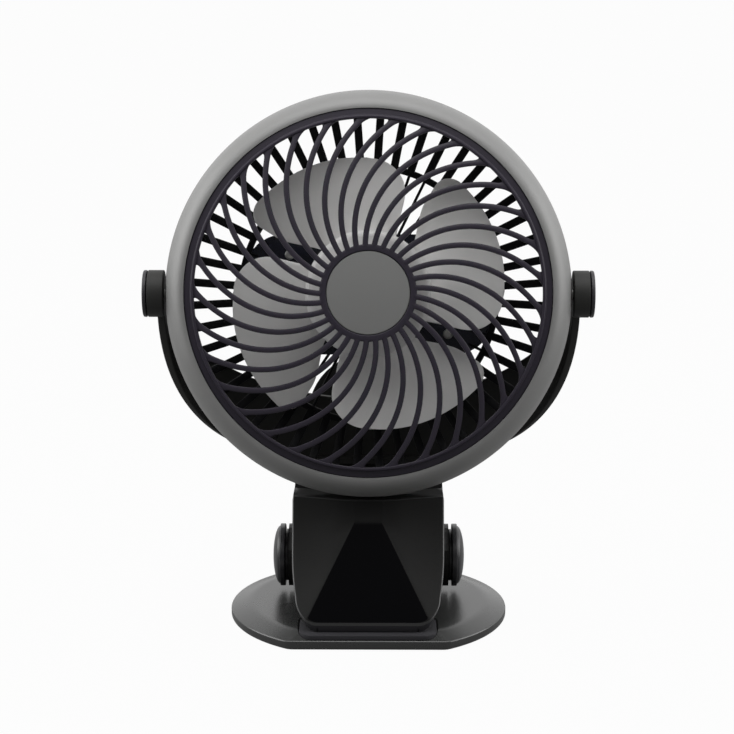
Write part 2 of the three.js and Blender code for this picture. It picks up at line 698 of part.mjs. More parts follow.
function pivotCap(side) {
  const inner = ARM_INSIDE + BOSS_LENGTH + BOSS_GROOVE;
  const outer = inner + PIVOT_CAP_THICKNESS;
  const profile = [
    [0, inner - 3],
    [PIVOT_POCKET_RADIUS - 0.4, inner - 3],
    [PIVOT_POCKET_RADIUS - 0.4, inner],
    [BOSS_RADIUS, inner],
    [BOSS_RADIUS, outer - 1],
    [BOSS_RADIUS - 1, outer - 0.3],
    [BOSS_RADIUS - 4, outer],
    [0, outer + 0.3],
  ];
  const closed = [...profile, profile[0]].map(([r, y]) => new THREE.Vector2(r, y));
  const geometry = new THREE.LatheGeometry(closed, HINGE_FACETS);
  geometry.rotateZ((-side * Math.PI) / 2).translate(0, 0, PIVOT_Z);
  return solid(geometry);
}

// ---------------------------------------------------------------- head
// Radius of the band's outside at a distance behind its middle.
function bandRadius(y) {
  const [edge, radius] = y < 0 ? [RING_FRONT, RING_FRONT_RADIUS] : [RING_REAR, RING_REAR_RADIUS];
  return RING_RADIUS - (RING_RADIUS - radius) * (y / edge) ** 2;
}

const GRILLE_SCREW_RADIUS = 99.5;
const screwAngles = [45, 135, 225, 315].map(radians);
const onCircle = (radius, angle) => [radius * Math.cos(angle), 0, radius * Math.sin(angle)];
const lugPlace = (angle) => onCircle(GRILLE_SCREW_RADIUS, angle);

function headRing() {
  const steps = 4;
  const stations = Array.from({ length: steps + 1 }, (_, i) =>
    RING_FRONT + (i / steps) * (RING_REAR - RING_FRONT));
  const outside = stations.map((y) => [bandRadius(y), y]);
  const inside = stations.map((y) => [bandRadius(y) - RING_WALL, y]).reverse();
  const band = revolve([...outside, ...inside], RING_FACETS);
  const lugs = screwAngles.map((angle) => {
    const post = bar("y", 3.6, RING_FRONT + 9, RING_REAR - 3.2, lugPlace(angle), 8);
    const web = new THREE.BoxGeometry(7, RING_REAR - RING_FRONT - 14, 2);
    web.translate(GRILLE_SCREW_RADIUS + 3.2, (RING_REAR + RING_FRONT) / 2 + 1.6, 0).rotateY(-angle);
    return post.add(solid(web));
  });
  const stubLength = 13;
  const stub = (from) => bar("x", PIVOT_STUB_RADIUS, from, from + stubLength);
  const faceAt = RING_RADIUS - 1.2;
  const screwHoles = screwAngles.map((angle) =>
    screwHole("y", CASE_SCREW_RADIUS + GAP, RING_REAR - 16, RING_REAR, lugPlace(angle)));
  const bore = bar("x", PIVOT_SCREW_RADIUS + GAP, -BEYOND, BEYOND);
  return cut(join([band, ...lugs, stub(faceAt - stubLength), stub(-faceAt)]), [bore, ...screwHoles]);
}

const GRILLE_SEAT = RING_FRONT - GAP;

// One curved rib: it leaves the hub ring along the radius and sweeps towards the rim.
function rib(start) {
  const steps = 4;
  const [inner, outer] = [HUB_RING_OUTER - 1, RIM_INNER_RADIUS + 1];
  const rimY = GRILLE_SEAT - 0.4;
  const middle = (share) => {
    const radius = inner + (outer - inner) * share;
    const angle = start - RIB_SWEEP * share ** RIB_CURVE;
    const rise = 1 - share ** 2.2;
    return new THREE.Vector3(
      radius * Math.cos(angle),
      rimY + (HUB_FRONT + RIB_DEPTH / 2 - rimY) * rise,
      radius * Math.sin(angle),
    );
  };
  const rings = Array.from({ length: steps + 1 }, (_, i) => {
    const share = i / steps;
    const step = 0.01;
    const along = middle(Math.min(share + step, 1)).sub(middle(Math.max(share - step, 0)));
    const across = new THREE.Vector3(-along.z, 0, along.x).normalize();
    const half = RIB_WIDTH / 2;
    const depth = RIB_DEPTH / 2;
    const section = [[-half, depth], [half, depth], [half * 0.6, -depth], [-half * 0.6, -depth]];
    return section.map(([side, back]) => {
      const point = middle(share).addScaledVector(across, side);
      point.y += back;
      return point.toArray();
    });
  });
  return loft(rings);
}

function frontGrille() {
  const ribs = Array.from({ length: RIB_COUNT }, (_, i) => rib(RIB_START + (i / RIB_COUNT) * TURN));
  const hub = revolve([
    [HUB_RING_INNER, HUB_FRONT],
    [HUB_RING_OUTER, HUB_FRONT],
    [HUB_RING_OUTER, HUB_FRONT + 4.6],
    [HUB_RING_INNER - 4, HUB_FRONT + 4.6],
    [HUB_RING_INNER - 4, HUB_FRONT + 3.2],
    [HUB_RING_INNER, HUB_FRONT + 3.2],
  ], ROUND_FACETS);
  const skirt = RING_FRONT_RADIUS - RING_WALL - GAP;
  const rim = revolve([
    [RIM_INNER_RADIUS, GRILLE_SEAT - 3],
    [RIM_INNER_RADIUS + RIM_LIP, GRILLE_SEAT - 3],
    [RIM_INNER_RADIUS + RIM_LIP, GRILLE_SEAT - 1.4],
    [RING_FRONT_RADIUS, GRILLE_SEAT - 1],
    [RING_FRONT_RADIUS, GRILLE_SEAT],
    [skirt, GRILLE_SEAT],
    [skirt, GRILLE_SEAT + 8],
    [skirt - 2, GRILLE_SEAT + 8],
    [skirt - 2, GRILLE_SEAT + 1.6],
    [RIM_INNER_RADIUS, GRILLE_SEAT + 1.6],
  ], RING_FACETS);
  return join([hub, rim, ...ribs]);
}

function grilleCap() {
  const radius = HUB_RING_INNER - GAP;
  const seat = HUB_FRONT + 3.2 - GAP;
  return revolve([
    [0, HUB_FRONT + 0.2],
    [radius - 0.6, HUB_FRONT + 0.2],
    [radius, HUB_FRONT + 0.8],
    [radius, seat],
    [0, seat],
  ], ROUND_FACETS);
}

// A stadium outline in X and Z.
function stadium(inset) {
  const radius = BOX_HALF_HEIGHT - inset;
  const flat = BOX_HALF_WIDTH - BOX_HALF_HEIGHT;
  const shape = new THREE.Shape();
  shape.absarc(flat, 0, radius, -Math.PI / 2, Math.PI / 2);
  shape.absarc(-flat, 0, radius, Math.PI / 2, 1.5 * Math.PI);
  return shape;
}

// A straight spoke between two [radius, y] points, at an angle round the axis.
function spoke(from, to, width, depth, angle) {
  const rings = [from, to].map(([radius, y]) => [
    [radius, y - depth / 2, -width / 2],
    [radius, y + depth / 2, -width / 2],
    [radius, y + depth / 2, width / 2],
    [radius, y - depth / 2, width / 2],
  ]);
  const turned = rings.map((ring) =>
    ring.map(([x, y, z]) => {
      const point = new THREE.Vector3(x, y, z).applyAxisAngle(new THREE.Vector3(0, 1, 0), -angle);
      return point.toArray();
    }));
  return loft(turned);
}

const END_STEPS = 8; // round each end of the stadium
const boxScrewPlaces = [[-1, -1], [1, -1], [-1, 1], [1, 1]].map(([x, z]) => [x * 44, 0, z * 22]);
const PLATE_REAR = BOX_PLATE_Y + BOX_PLATE;
const BEARING_SEAT_WALL = 1.8;

function ventSlots(from, to) {
  const flat = BOX_HALF_WIDTH - BOX_HALF_HEIGHT;
  const pitch = 6;
  return [-1, 1].flatMap((side) =>
    Array.from({ length: VENT_COUNT }, (_, i) => {
      const z = (i - (VENT_COUNT - 1) / 2) * pitch;
      const reach = Math.sqrt((BOX_HALF_HEIGHT - 5) ** 2 - z ** 2);
      const x = [side * (flat + 6), side * (flat + reach)].sort((a, b) => a - b);
      return block(x, [from, to], [z - 1, z + 1]);
    }));
}

function rearGrille() {
  const rimY = RING_REAR;
  const rimOuter = RING_REAR_RADIUS - RING_WALL - GAP;
  const outerSpokes = [];
  const innerSpokes = [];
  for (let i = 0; i < SPOKE_COUNT; i++) {
    const angle = ((i + 0.5) / SPOKE_COUNT) * TURN;
    const rimEnd = [REAR_RIM_INNER + 1, rimY - 0.6];
    const ringEnd = [MID_RING_RADIUS, MID_RING_Y];
    const boxEnd = [boxReach(angle), BOX_PLATE_Y + 1.2];
    outerSpokes.push(spoke(rimEnd, ringEnd, SPOKE_WIDTH, SPOKE_DEPTH, angle));
    innerSpokes.push(spoke(ringEnd, boxEnd, INNER_SPOKE_WIDTH, INNER_SPOKE_DEPTH, angle));
  }
  const rim = tube(rimOuter, REAR_RIM_INNER, rimY - 2.6, rimY + 1.2, SPOKE_COUNT);
  const middle = tube(
    MID_RING_RADIUS + MID_RING_WIDTH / 2,
    MID_RING_RADIUS - MID_RING_WIDTH / 2,
    MID_RING_Y - 1.8,
    MID_RING_Y + 1.8,
    SPOKE_COUNT,
  );
  const plate = backwards(stadium(0), BOX_PLATE_Y, PLATE_REAR, END_STEPS);
  const seat = tube(
    BEARING_RADIUS + GAP + BEARING_SEAT_WALL,
    BEARING_RADIUS + GAP,
    BOX_PLATE_Y - BEARING_LENGTH,
    BOX_PLATE_Y + 0.5,
    SMALL_FACETS,
  );
  const holes = screwAngles.map((angle) =>
    screwHole("y", CASE_SCREW_RADIUS + GAP, rimY - 4, rimY + 3, lugPlace(angle)));
  const boxHoles = boxScrewPlaces.map((place) =>
    screwHole("y", CASE_SCREW_RADIUS + GAP, BOX_PLATE_Y - 1, PLATE_REAR + 1, place));
  const shaftHole = bar("y", SHAFT_RADIUS + 1, BOX_PLATE_Y - 1, PLATE_REAR + 1);
  const body = join([rim, middle, plate, seat, ...outerSpokes, ...innerSpokes]);
  return cut(body, [...holes, ...boxHoles, shaftHole, ...ventSlots(BOX_PLATE_Y - 1, PLATE_REAR + 1)]);
}

// How far the stadium reaches from the axis in a direction, less a bite for the spoke's end.
function boxReach(angle) {
  const flat = BOX_HALF_WIDTH - BOX_HALF_HEIGHT;
  const [x, z] = [Math.abs(Math.cos(angle)), Math.abs(Math.sin(angle))];
  const bite = 1.2;
  const overFlat = BOX_HALF_HEIGHT / z;
  if (overFlat * x <= flat) return overFlat - bite;
  return flat * x + Math.sqrt(BOX_HALF_HEIGHT ** 2 - (flat * z) ** 2) - bite;
}

const BOX_FRONT = PLATE_REAR + GAP;
const BOX_REAR = PLATE_REAR + BOX_DEPTH;
const KNOB_AT = [0, 0, 8];
const INLET_AT = [0, 0, -20];
const switchShaftRadius = 3;

function motorCover() {
  const rounding = 3;
  const shape = stadium(rounding);
  const geometry = new THREE.ExtrudeGeometry(shape, {
    depth: BOX_REAR - BOX_FRONT - rounding,
    bevelEnabled: true,
    bevelThickness: rounding,
    bevelSize: rounding,
    bevelSegments: 1,
    curveSegments: END_STEPS,
  });
  geometry.rotateX(Math.PI / 2).scale(1, -1, 1).translate(0, BOX_FRONT, 0);
  const outside = solid(geometry).intersect(block([-99, 99], [BOX_FRONT, 99], [-99, 99]));
  const inside = backwards(stadium(BOX_WALL), BOX_FRONT - 1, BOX_REAR - BOX_WALL, END_STEPS);
  const posts = boxScrewPlaces.map((place) => bar("y", 3.6, BOX_FRONT, BOX_REAR - 1, place, 8));
  const postHoles = boxScrewPlaces.map((place) =>
    screwHole("y", CASE_SCREW_RADIUS + GAP, BOX_FRONT - 1, BOX_FRONT + 11, place));
  const knobHole = bar("y", switchShaftRadius + GAP, BOX_REAR - 4, BOX_REAR + 1, KNOB_AT);
  const inletHole = bar("y", 4 + GAP, BOX_REAR - 4, BOX_REAR + 1, INLET_AT);
  const shell = join([cut(outside, [inside]), ...posts]);
  return cut(shell, [...postHoles, knobHole, inletHole, ...ventSlots(BOX_REAR - BOX_WALL - 1, BOX_REAR + 1)]);
}

function motorCan() {
  const rear = BOX_PLATE_Y - GAP;
  const shell = revolve([
    [BEARING_RADIUS + GAP, CAN_FRONT],
    [CAN_RADIUS - 2, CAN_FRONT],
    [CAN_RADIUS, CAN_FRONT + 2],
    [CAN_RADIUS, rear],
    [CAN_RADIUS - CAN_WALL, rear],
    [CAN_RADIUS - CAN_WALL, CAN_FRONT + CAN_WALL],
    [BEARING_RADIUS + GAP + BEARING_SEAT_WALL, CAN_FRONT + CAN_WALL],
    [BEARING_RADIUS + GAP + BEARING_SEAT_WALL, CAN_FRONT + BEARING_LENGTH],
    [BEARING_RADIUS + GAP, CAN_FRONT + BEARING_LENGTH],
  ], ROUND_FACETS);
  return shell;
}

const STATOR_FRONT = (CAN_FRONT + BOX_PLATE_Y) / 2 - STATOR_LENGTH / 2;
const STATOR_REAR = STATOR_FRONT + STATOR_LENGTH;

// The laminated core: a ring with salient poles that reach in to the rotor.
function statorCore() {
  const outer = CAN_RADIUS - CAN_WALL - GAP;
  const ring = tube(outer, outer - 4, STATOR_FRONT, STATOR_REAR, ROUND_FACETS);
  const poles = Array.from({ length: 4 }, (_, i) => {
    const reach = outer - 2;
    const geometry = new THREE.BoxGeometry(reach, STATOR_LENGTH, 9);
    geometry.translate(reach / 2, (STATOR_FRONT + STATOR_REAR) / 2, 0).rotateY((i / 4) * TURN);
    return solid(geometry);
  });
  const bore = bar("y", ROTOR_RADIUS + AIR_GAP, 0, 40);
  return cut(join([ring, ...poles]), [bore]);
}

function winding(from, to) {
  return tube(CAN_RADIUS - CAN_WALL - 1.2, ROTOR_RADIUS + 2.2, from, to, SMALL_FACETS);
}

function bearing(from) {
  const inner = SHAFT_RADIUS + GAP;
  return tube(BEARING_RADIUS, inner, from, from + BEARING_LENGTH - GAP, SMALL_FACETS);
}

function shaft() {
  return join([
    bar("y", SHAFT_RADIUS, HUB_FACE - 5, PLATE_REAR + 2),
    bar("y", SHAFT_RADIUS + 1.2, STATOR_FRONT - 2, STATOR_FRONT - GAP),
  ]);
}

// The blade's edges, as angles at a radius: a square trailing edge and a bulging leading one.
const TRAILING = radians(68.9);
const LEADING = radians(135.5);
const BULGE = radians(12.8);
const BULGE_END = 60;
const TRAILING_CORNER = { start: 52.4, angle: radians(23) };
const LEADING_CORNER = { start: 64.5, angle: radians(11) };

function cornerAngle({ start, angle }, radius) {
  const share = Math.max(0, (radius - start) / (BLADE_RADIUS - start));
  return angle * (1 - Math.sqrt(Math.max(0, 1 - share * share)));
}

function blade(turn) {
  const radialSteps = 6;
  const acrossSteps = 5;
  const root = HUB_RADIUS - HUB_WALL / 2;
  const rings = [];
  for (let i = 0; i <= radialSteps; i++) {
    const share = i / radialSteps;
    const radius = root + (BLADE_RADIUS - root) * (1 - (1 - share) ** 1.4);
    const bulge = Math.sin(Math.min(1, (radius - HUB_RADIUS) / (BULGE_END - HUB_RADIUS)) * (Math.PI / 2));
    const low = TRAILING + cornerAngle(TRAILING_CORNER, radius);
    const high = LEADING + BULGE * bulge - cornerAngle(LEADING_CORNER, radius);
    const front = [];
    const back = [];
    for (let j = 0; j <= acrossSteps; j++) {
      const across = j / acrossSteps;
      const angle = low + (high - low) * across;
      const lift = (angle - TRAILING) / (LEADING + BULGE - TRAILING);
      const [from, to] = BLADE_RISE;
      const y = from + (to - from) * lift - BLADE_CAMBER * Math.sin(Math.PI * lift);
      const [x, z] = [radius * Math.cos(angle + turn), radius * Math.sin(angle + turn)];
      front.push([x, y - BLADE_THICKNESS / 2, z]);
      back.push([x, y + BLADE_THICKNESS / 2, z]);
    }
    rings.push([...front, ...back.reverse()]);
  }
  return solid(gridLoft(rings, acrossSteps + 1));
}

// A skin over rings that are long thin loops: the ends are closed by strips, not by a fan.
function gridLoft(rings, half) {
  const count = rings[0].length;
  const index = [];
  for (let i = 0; i < rings.length - 1; i++)
    for (let j = 0; j < count; j++) {
      const [a, b] = [i * count + j, i * count + ((j + 1) % count)];
      index.push(a, b, b + count, a, b + count, a + count);
    }
  const last = (rings.length - 1) * count;
  for (let j = 0; j < half - 1; j++) {
    const [a, b] = [j, j + 1];
    const [c, d] = [count - 2 - j, count - 1 - j];
    index.push(a, c, b, a, d, c, last + a, last + b, last + c, last + a, last + c, last + d);
  }
  return new THREE.BufferGeometry()
    .setAttribute("position", new THREE.Float32BufferAttribute(rings.flat(2), 3))
    .setIndex(index);
}

function impeller() {
  const hub = revolve([
    [SHAFT_RADIUS + GAP, HUB_FACE],
    [HUB_RADIUS - 4, HUB_FACE],
    [HUB_RADIUS - 1.2, HUB_FACE + 1.2],
    [HUB_RADIUS, HUB_FACE + 4],
    [HUB_RADIUS, HUB_REAR],
    [HUB_RADIUS - HUB_WALL, HUB_REAR],
    [HUB_RADIUS - HUB_WALL, HUB_FACE + 4.4],
    [HUB_RADIUS - HUB_WALL - 2, HUB_FACE + HUB_WALL],
    [7, HUB_FACE + HUB_WALL],
    [7, CAN_FRONT - 2.4],
    [SHAFT_RADIUS + GAP, CAN_FRONT - 2.4],
  ], ROUND_FACETS);
  const blades = Array.from({ length: BLADE_COUNT }, (_, i) => blade((i / BLADE_COUNT) * TURN));
  return join([hub, ...blades]);
}

function bladeNut() {
  const rear = HUB_FACE - GAP;
  return revolve([
    [SHAFT_RADIUS + GAP, rear],
    [9, rear],
    [9, rear - 3],
    [7.5, rear - 6],
    [4, rear - 7.4],
    [0, rear - 7.8],
    [0, rear - 5],
    [SHAFT_RADIUS + GAP, rear - 5],
  ], 12);
}

function speedKnob() {
  const front = BOX_REAR + 2 * GAP;
  const grips = 8;
  const flute = (i) => {
    const angle = (i / grips) * TURN;
    const place = onCircle(KNOB_RADIUS + 0.6, angle);
    return bar("y", 1.2, front + 2, front + KNOB_LENGTH + 1, place, 8);
  };
  const body = revolve([
    [0, front + 1],
    [switchShaftRadius + GAP, front + 1],
    [switchShaftRadius + GAP, front],
    [KNOB_RADIUS + 1, front],
    [KNOB_RADIUS, front + 2],
    [KNOB_RADIUS, front + KNOB_LENGTH - 1],
    [KNOB_RADIUS - 1, front + KNOB_LENGTH],
    [0, front + KNOB_LENGTH],
  ], HINGE_FACETS);
  const end = front + KNOB_LENGTH;
  const pointer = block([-0.8, 0.8], [end - 0.6, end + 1], [2, KNOB_RADIUS + 1]);
  return cut(body, [...Array.from({ length: grips }, (_, i) => flute(i)), pointer]);
}

const BOARD_Y = BOX_FRONT + BOARD_STANDOFF;

function controlBoard() {
  const plate = block(
    [-BOARD_HALF[0], BOARD_HALF[0]],
    [BOARD_Y, BOARD_Y + BOARD_THICKNESS],
    [-BOARD_HALF[1], BOARD_HALF[1]],
  );
  const hole = bar("y", SHAFT_RADIUS + 2, BOARD_Y - 1, BOARD_Y + 3);
  return cut(plate, [hole]);
}

function speedSwitch() {
  const rear = BOX_REAR - BOX_WALL - GAP;
  const body = block([-7, 7], [BOARD_Y + BOARD_THICKNESS + GAP, rear], [KNOB_AT[2] - 6.5, KNOB_AT[2] + 6]);
  return body.add(bar("y", switchShaftRadius, rear - 1, BOX_REAR + 0.5, KNOB_AT));
}

function powerInlet() {
  const rear = BOX_REAR + 1.2;
  const body = join([
    bar("y", 4, BOARD_Y + BOARD_THICKNESS + GAP, BOX_REAR + GAP, INLET_AT),
    bar("y", 5.4, BOX_REAR + GAP, rear, INLET_AT),
  ]);
  return cut(body, [bar("y", 2.6, BOX_REAR - 5, rear + 1, INLET_AT)]);
}

// ---------------------------------------------------------------- the fan
const fan = new THREE.Group();

const stand = new THREE.Group();
stand.add(mesh("base_plate", basePlate(), satinGrey));
stand.add(mesh("base_bottom_cover", bottomCover(), darkGrey));
stand.add(mesh("ballast_plate", ballastPlate(), steel));
stand.add(mesh("seat_pad",
  upwards(seatShape(0), SEAT_FLOOR + GAP, SEAT_FLOOR + GAP + PAD_THICKNESS), rubber));
stand.add(mesh("grip_pad", bar("z", GRIP_PAD_RADIUS, 0, PAD_FOOT_TOP), rubber));
footPlaces.forEach(([x, y], i) => {
  stand.add(mesh(`foot_${i + 1}`, bar("z", FOOT_RADIUS, 0, PAD_FOOT_TOP, [x, y, 0]), rubber));
});
stand.add(mesh("rear_handle", rearHandle(), darkGrey));
handleScrewPlaces.forEach(([x, y], i) => {
  const from = CAVITY_TOP - GAP;
  const made = screw("z", HANDLE_SCREW_RADIUS, from, BASE_TOP + GAP + 2, [x, y, 0], -1);
  stand.add(mesh(`handle_screw_${i + 1}`, made, steel));
});
stand.add(mesh("hinge_pin", hingePin(), steel));
stand.add(mesh("hinge_cap_left", hingeCap(-1), glossBlack));
stand.add(mesh("hinge_cap_right", hingeCap(1), glossBlack));
stand.add(mesh("spring_bush", springBush(), grilleBlack));
stand.add(mesh("torsion_spring", torsionSpring(), steel));

const clip = new THREE.Group();
clip.add(mesh("front_lever", frontLever(), darkGrey));
clip.add(mesh("jaw_pad", jawPad(), rubber));
clip.add(mesh("yoke", yoke(), darkGrey));
yokeScrewPlaces.forEach(([x, y], i) => {
  const end = YOKE_LOWER[1] + YOKE_FOOT_THICKNESS;
  const made = screw("z", CASE_SCREW_RADIUS, LEVER_CEILING - GAP, end, [x, y, 0], -1);
  clip.add(mesh(`yoke_screw_${i + 1}`, made, steel));
});
clip.add(mesh("pivot_cap_left", pivotCap(-1), darkGrey));
clip.add(mesh("pivot_cap_right", pivotCap(1), darkGrey));

const head = new THREE.Group();
head.position.set(0, 0, PIVOT_Z);
head.rotation.x = -HEAD_TILT;
head.add(mesh("head_ring", headRing(), satinGrey));
head.add(mesh("front_grille", frontGrille(), grilleBlack));
head.add(mesh("grille_cap", grilleCap(), capGrey));
head.add(mesh("rear_grille", rearGrille(), grilleBlack));
screwAngles.forEach((angle, i) => {
  const place = lugPlace(angle);
  const made = screw("y", CASE_SCREW_RADIUS, RING_REAR - 14, RING_REAR + 1.2 + GAP, place, 1);
  head.add(mesh(`grille_screw_${i + 1}`, made, steel));
});
head.add(mesh("motor_cover", motorCover(), glossBlack));
boxScrewPlaces.forEach((place, i) => {
  const made = screw("y", CASE_SCREW_RADIUS, BOX_PLATE_Y - GAP, BOX_FRONT + 9, place, -1);
  head.add(mesh(`cover_screw_${i + 1}`, made, steel));
});
head.add(mesh("motor_can", motorCan(), steel));
head.add(mesh("stator_core", statorCore(), steel));
head.add(mesh("winding_front",
  winding(CAN_FRONT + CAN_WALL + GAP, STATOR_FRONT - GAP), copper));
head.add(mesh("winding_rear", winding(STATOR_REAR + GAP, BOX_PLATE_Y - GAP - 0.4), copper));
head.add(mesh("bearing_front", bearing(CAN_FRONT), steel));
head.add(mesh("bearing_rear", bearing(BOX_PLATE_Y - BEARING_LENGTH), steel));
head.add(mesh("control_board", controlBoard(), boardGreen));
head.add(mesh("speed_switch", speedSwitch(), glossBlack));
head.add(mesh("power_inlet", powerInlet(), glossBlack));
[-1, 1].forEach((side) => {
  const [near, far] = [ARM_INSIDE - 10, ARM_INSIDE + PIVOT_SEAT + GAP];
  const [from, to] = side > 0 ? [near, far] : [-far, -near];
  const made = screw("x", PIVOT_SCREW_RADIUS, from, to, [0, 0, 0], side);
  head.add(mesh(side > 0 ? "pivot_screw_right" : "pivot_screw_left", made, steel));
});

const rotor = new THREE.Group();
rotor.add(mesh("shaft", shaft(), steel));
rotor.add(mesh("rotor_core",
  tube(ROTOR_RADIUS, SHAFT_RADIUS + GAP, STATOR_FRONT, STATOR_REAR, SMALL_FACETS), steel));
rotor.add(mesh("impeller", impeller(), bladeGrey));
rotor.add(mesh("blade_nut", bladeNut(), glossBlack));
head.add(rotor);

const knob = mesh("speed_knob", speedKnob(), darkGrey);
knob.position.set(...KNOB_AT);
head.add(knob);

fan.add(stand, clip, head);
export default fan;
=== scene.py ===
# %% [markdown]
# # A clip fan, dressed for its portrait
#
# The frame holds a small fan as plain solids: a stand with a sprung clip, a bow that carries the
# head, and a head with a swirled grille. This lesson gives each piece its fine surface and its
# finish. Nothing here moves or resizes the frame: every piece is made in the place of the solid
# that it stands for, in metres, with +Z up and the fan looking along -Y.

# %% Load the frame
import json
import math

import bmesh
import bpy
from mathutils import Matrix, Vector

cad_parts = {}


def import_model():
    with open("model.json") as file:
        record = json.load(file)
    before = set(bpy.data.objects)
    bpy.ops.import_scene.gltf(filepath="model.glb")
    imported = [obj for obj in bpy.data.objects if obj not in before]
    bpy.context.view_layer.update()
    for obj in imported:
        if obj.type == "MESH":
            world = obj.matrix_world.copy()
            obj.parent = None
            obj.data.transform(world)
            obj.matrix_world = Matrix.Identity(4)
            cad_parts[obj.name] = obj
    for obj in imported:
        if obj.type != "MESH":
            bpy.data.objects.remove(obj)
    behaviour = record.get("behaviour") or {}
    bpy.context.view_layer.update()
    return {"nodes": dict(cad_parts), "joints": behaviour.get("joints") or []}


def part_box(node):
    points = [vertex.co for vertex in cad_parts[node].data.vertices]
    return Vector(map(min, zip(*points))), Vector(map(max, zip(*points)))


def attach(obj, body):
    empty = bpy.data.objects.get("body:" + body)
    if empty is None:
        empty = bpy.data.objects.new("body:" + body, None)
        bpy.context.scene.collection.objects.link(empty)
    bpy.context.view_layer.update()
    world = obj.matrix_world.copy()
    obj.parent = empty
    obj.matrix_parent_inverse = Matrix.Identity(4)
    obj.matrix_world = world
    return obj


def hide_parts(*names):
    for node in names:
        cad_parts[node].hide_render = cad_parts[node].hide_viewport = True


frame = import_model()

# %% [markdown]
# ## Where things are
#
# The joints say where the head turns and which way its axis points, so the head's own frame comes
# from them and not from copied numbers. In that frame Z runs along the fan's axis to the rear,
# which is handy: a ring is then a profile turned about Z, and a grille is a pattern in the plane.

# %% Millimetres, joints and the head's own frame
MM = 0.001
joints = {joint["name"]: joint for joint in frame["joints"]}
pivot = Vector(joints["head_tilt"]["pos_m"])
axis = Vector(joints["rotor_spin"]["axis"])
TILT = math.atan2(axis.z, -axis.y)
HEAD = Matrix.Translation(pivot) @ Matrix.Rotation(-TILT - math.pi / 2, 4, "X")
PIN = Vector(joints["clip_open"]["pos_m"])
STRAIGHT = Matrix.Identity(4)
print("the head looks up by", round(math.degrees(TILT), 2), "degrees")

# %% [markdown]
# A new object shows only once it is linked to the scene, so one helper does both. Much on a fan is
# round, so a second one gives the point at a radius and an angle.


# %% A linked object, and a point on a circle
def linked(name, data):
    thing = bpy.data.objects.new(name, data)
    bpy.context.scene.collection.objects.link(thing)
    return thing


def polar(radius, angle):
    return radius * math.cos(angle), radius * math.sin(angle)


# %% [markdown]
# ## The camera
#
# The picture was taken from about 1.2 m away and a little above the fan, with a long lens. A long
# lens keeps the base and the head at nearly the same scale. The camera is placed by its distance,
# height and turn round the object, and is then aimed by its pitch.

# %% Camera at the photograph's angle
CAMERA_DISTANCE = 1.197
CAMERA_HEIGHT = 0.432
CAMERA_TURN = math.radians(0.4)
CAMERA_PITCH = math.radians(13.575)
CAMERA_AIM = math.radians(0.04)
LENS = 110.0


def make_camera():
    camera = linked("camera", bpy.data.cameras.new("camera"))
    camera.data.lens = LENS
    camera.data.sensor_width = 36.0
    camera.data.clip_start = 0.05
    camera.location = (
        CAMERA_DISTANCE * math.sin(CAMERA_TURN),
        -CAMERA_DISTANCE * math.cos(CAMERA_TURN),
        CAMERA_HEIGHT,
    )
    camera.rotation_euler = (math.pi / 2 - CAMERA_PITCH, 0, CAMERA_TURN + CAMERA_AIM)
    bpy.context.scene.camera = camera


make_camera()

# %% [markdown]
# ## Maths that reads like maths
#
# A material or a Geometry Nodes tree can hold dozens of Math nodes. Written as Python expressions
# they stay short: one small class wraps a socket, and each operator adds the node that does it.
# Every other node comes from one method, which takes the node's type, its settings and its sockets.


# %% A socket that understands + - * / and a graph that adds nodes
def operator(operation):
    """How a Value meets what stands on its right."""
    return lambda value, other: value.graph.maths(operation, value, other)


def reflected(operation):
    """How a Value meets what stands on its left, as in 1 - mask."""
    return lambda value, other: value.graph.maths(operation, other, value)


class Value:
    def __init__(self, graph, socket):
        self.graph = graph
        self.socket = socket

    __add__ = __radd__ = operator("ADD")
    __mul__ = __rmul__ = operator("MULTIPLY")
    __sub__ = operator("SUBTRACT")
    __rsub__ = reflected("SUBTRACT")
    __truediv__ = operator("DIVIDE")
    __rtruediv__ = reflected("DIVIDE")
    __pow__ = operator("POWER")


class Made:
    """A node just added. Its outputs are read by name, as node["Color"]."""

    def __init__(self, graph, node):
        self.graph = graph
        self.node = node

    def __getitem__(self, output):
        return Value(self.graph, self.node.outputs[output])


class Graph:
    def __init__(self, tree):
        self.tree = tree

    def add(self, kind, settings=None, sockets=None):
        node = self.tree.nodes.new(kind)
        for name, value in (settings or {}).items():
            if name == "stops":
                self.set_stops(node.color_ramp, value)
            else:
                setattr(node, name, value)
        for key, value in (sockets or {}).items():
            if isinstance(value, Value):
                self.tree.links.new(value.socket, node.inputs[key])
            else:
                node.inputs[key].default_value = value
        return Made(self, node)

    def set_stops(self, ramp, stops):
        while len(ramp.elements) < len(stops):
            ramp.elements.new(1.0)
        for element, (place, grey) in zip(ramp.elements, stops):
            element.position = place
            element.color = (grey, grey, grey, 1)

    def vector(self, **parts):
        return self.add("ShaderNodeCombineXYZ", None, parts)["Vector"]

    def maths(self, operation, *values):
        sockets = dict(enumerate(values))
        return self.add("ShaderNodeMath", {"operation": operation}, sockets)["Value"]


# %% [markdown]
# ## Plastic
#
# Most of this fan is moulded plastic. Up close it has a fine grain from the mould, and its sheen
# varies a little from place to place. Both come from noise on Object coordinates, which are metres
# here, so a scale of 1000 means grains a millimetre wide. The grain goes to a Bump node, and the
# slow variation goes to colour and roughness.


# %% One function for every moulded plastic
def empty_graph(owner):
    """The node tree of a material or a world, with nothing in it."""
    owner.use_nodes = True
    owner.node_tree.nodes.clear()
    return Graph(owner.node_tree)


def shader(name):
    material = bpy.data.materials.new(name)
    graph = empty_graph(material)
    return material, graph, graph.add("ShaderNodeTexCoord")["Object"]


def noise(graph, place, scale, detail=2.0, rough=0.5):
    sockets = {"Vector": place, "Scale": scale, "Detail": detail, "Roughness": rough}
    return graph.add("ShaderNodeTexNoise", None, sockets)["Fac"]


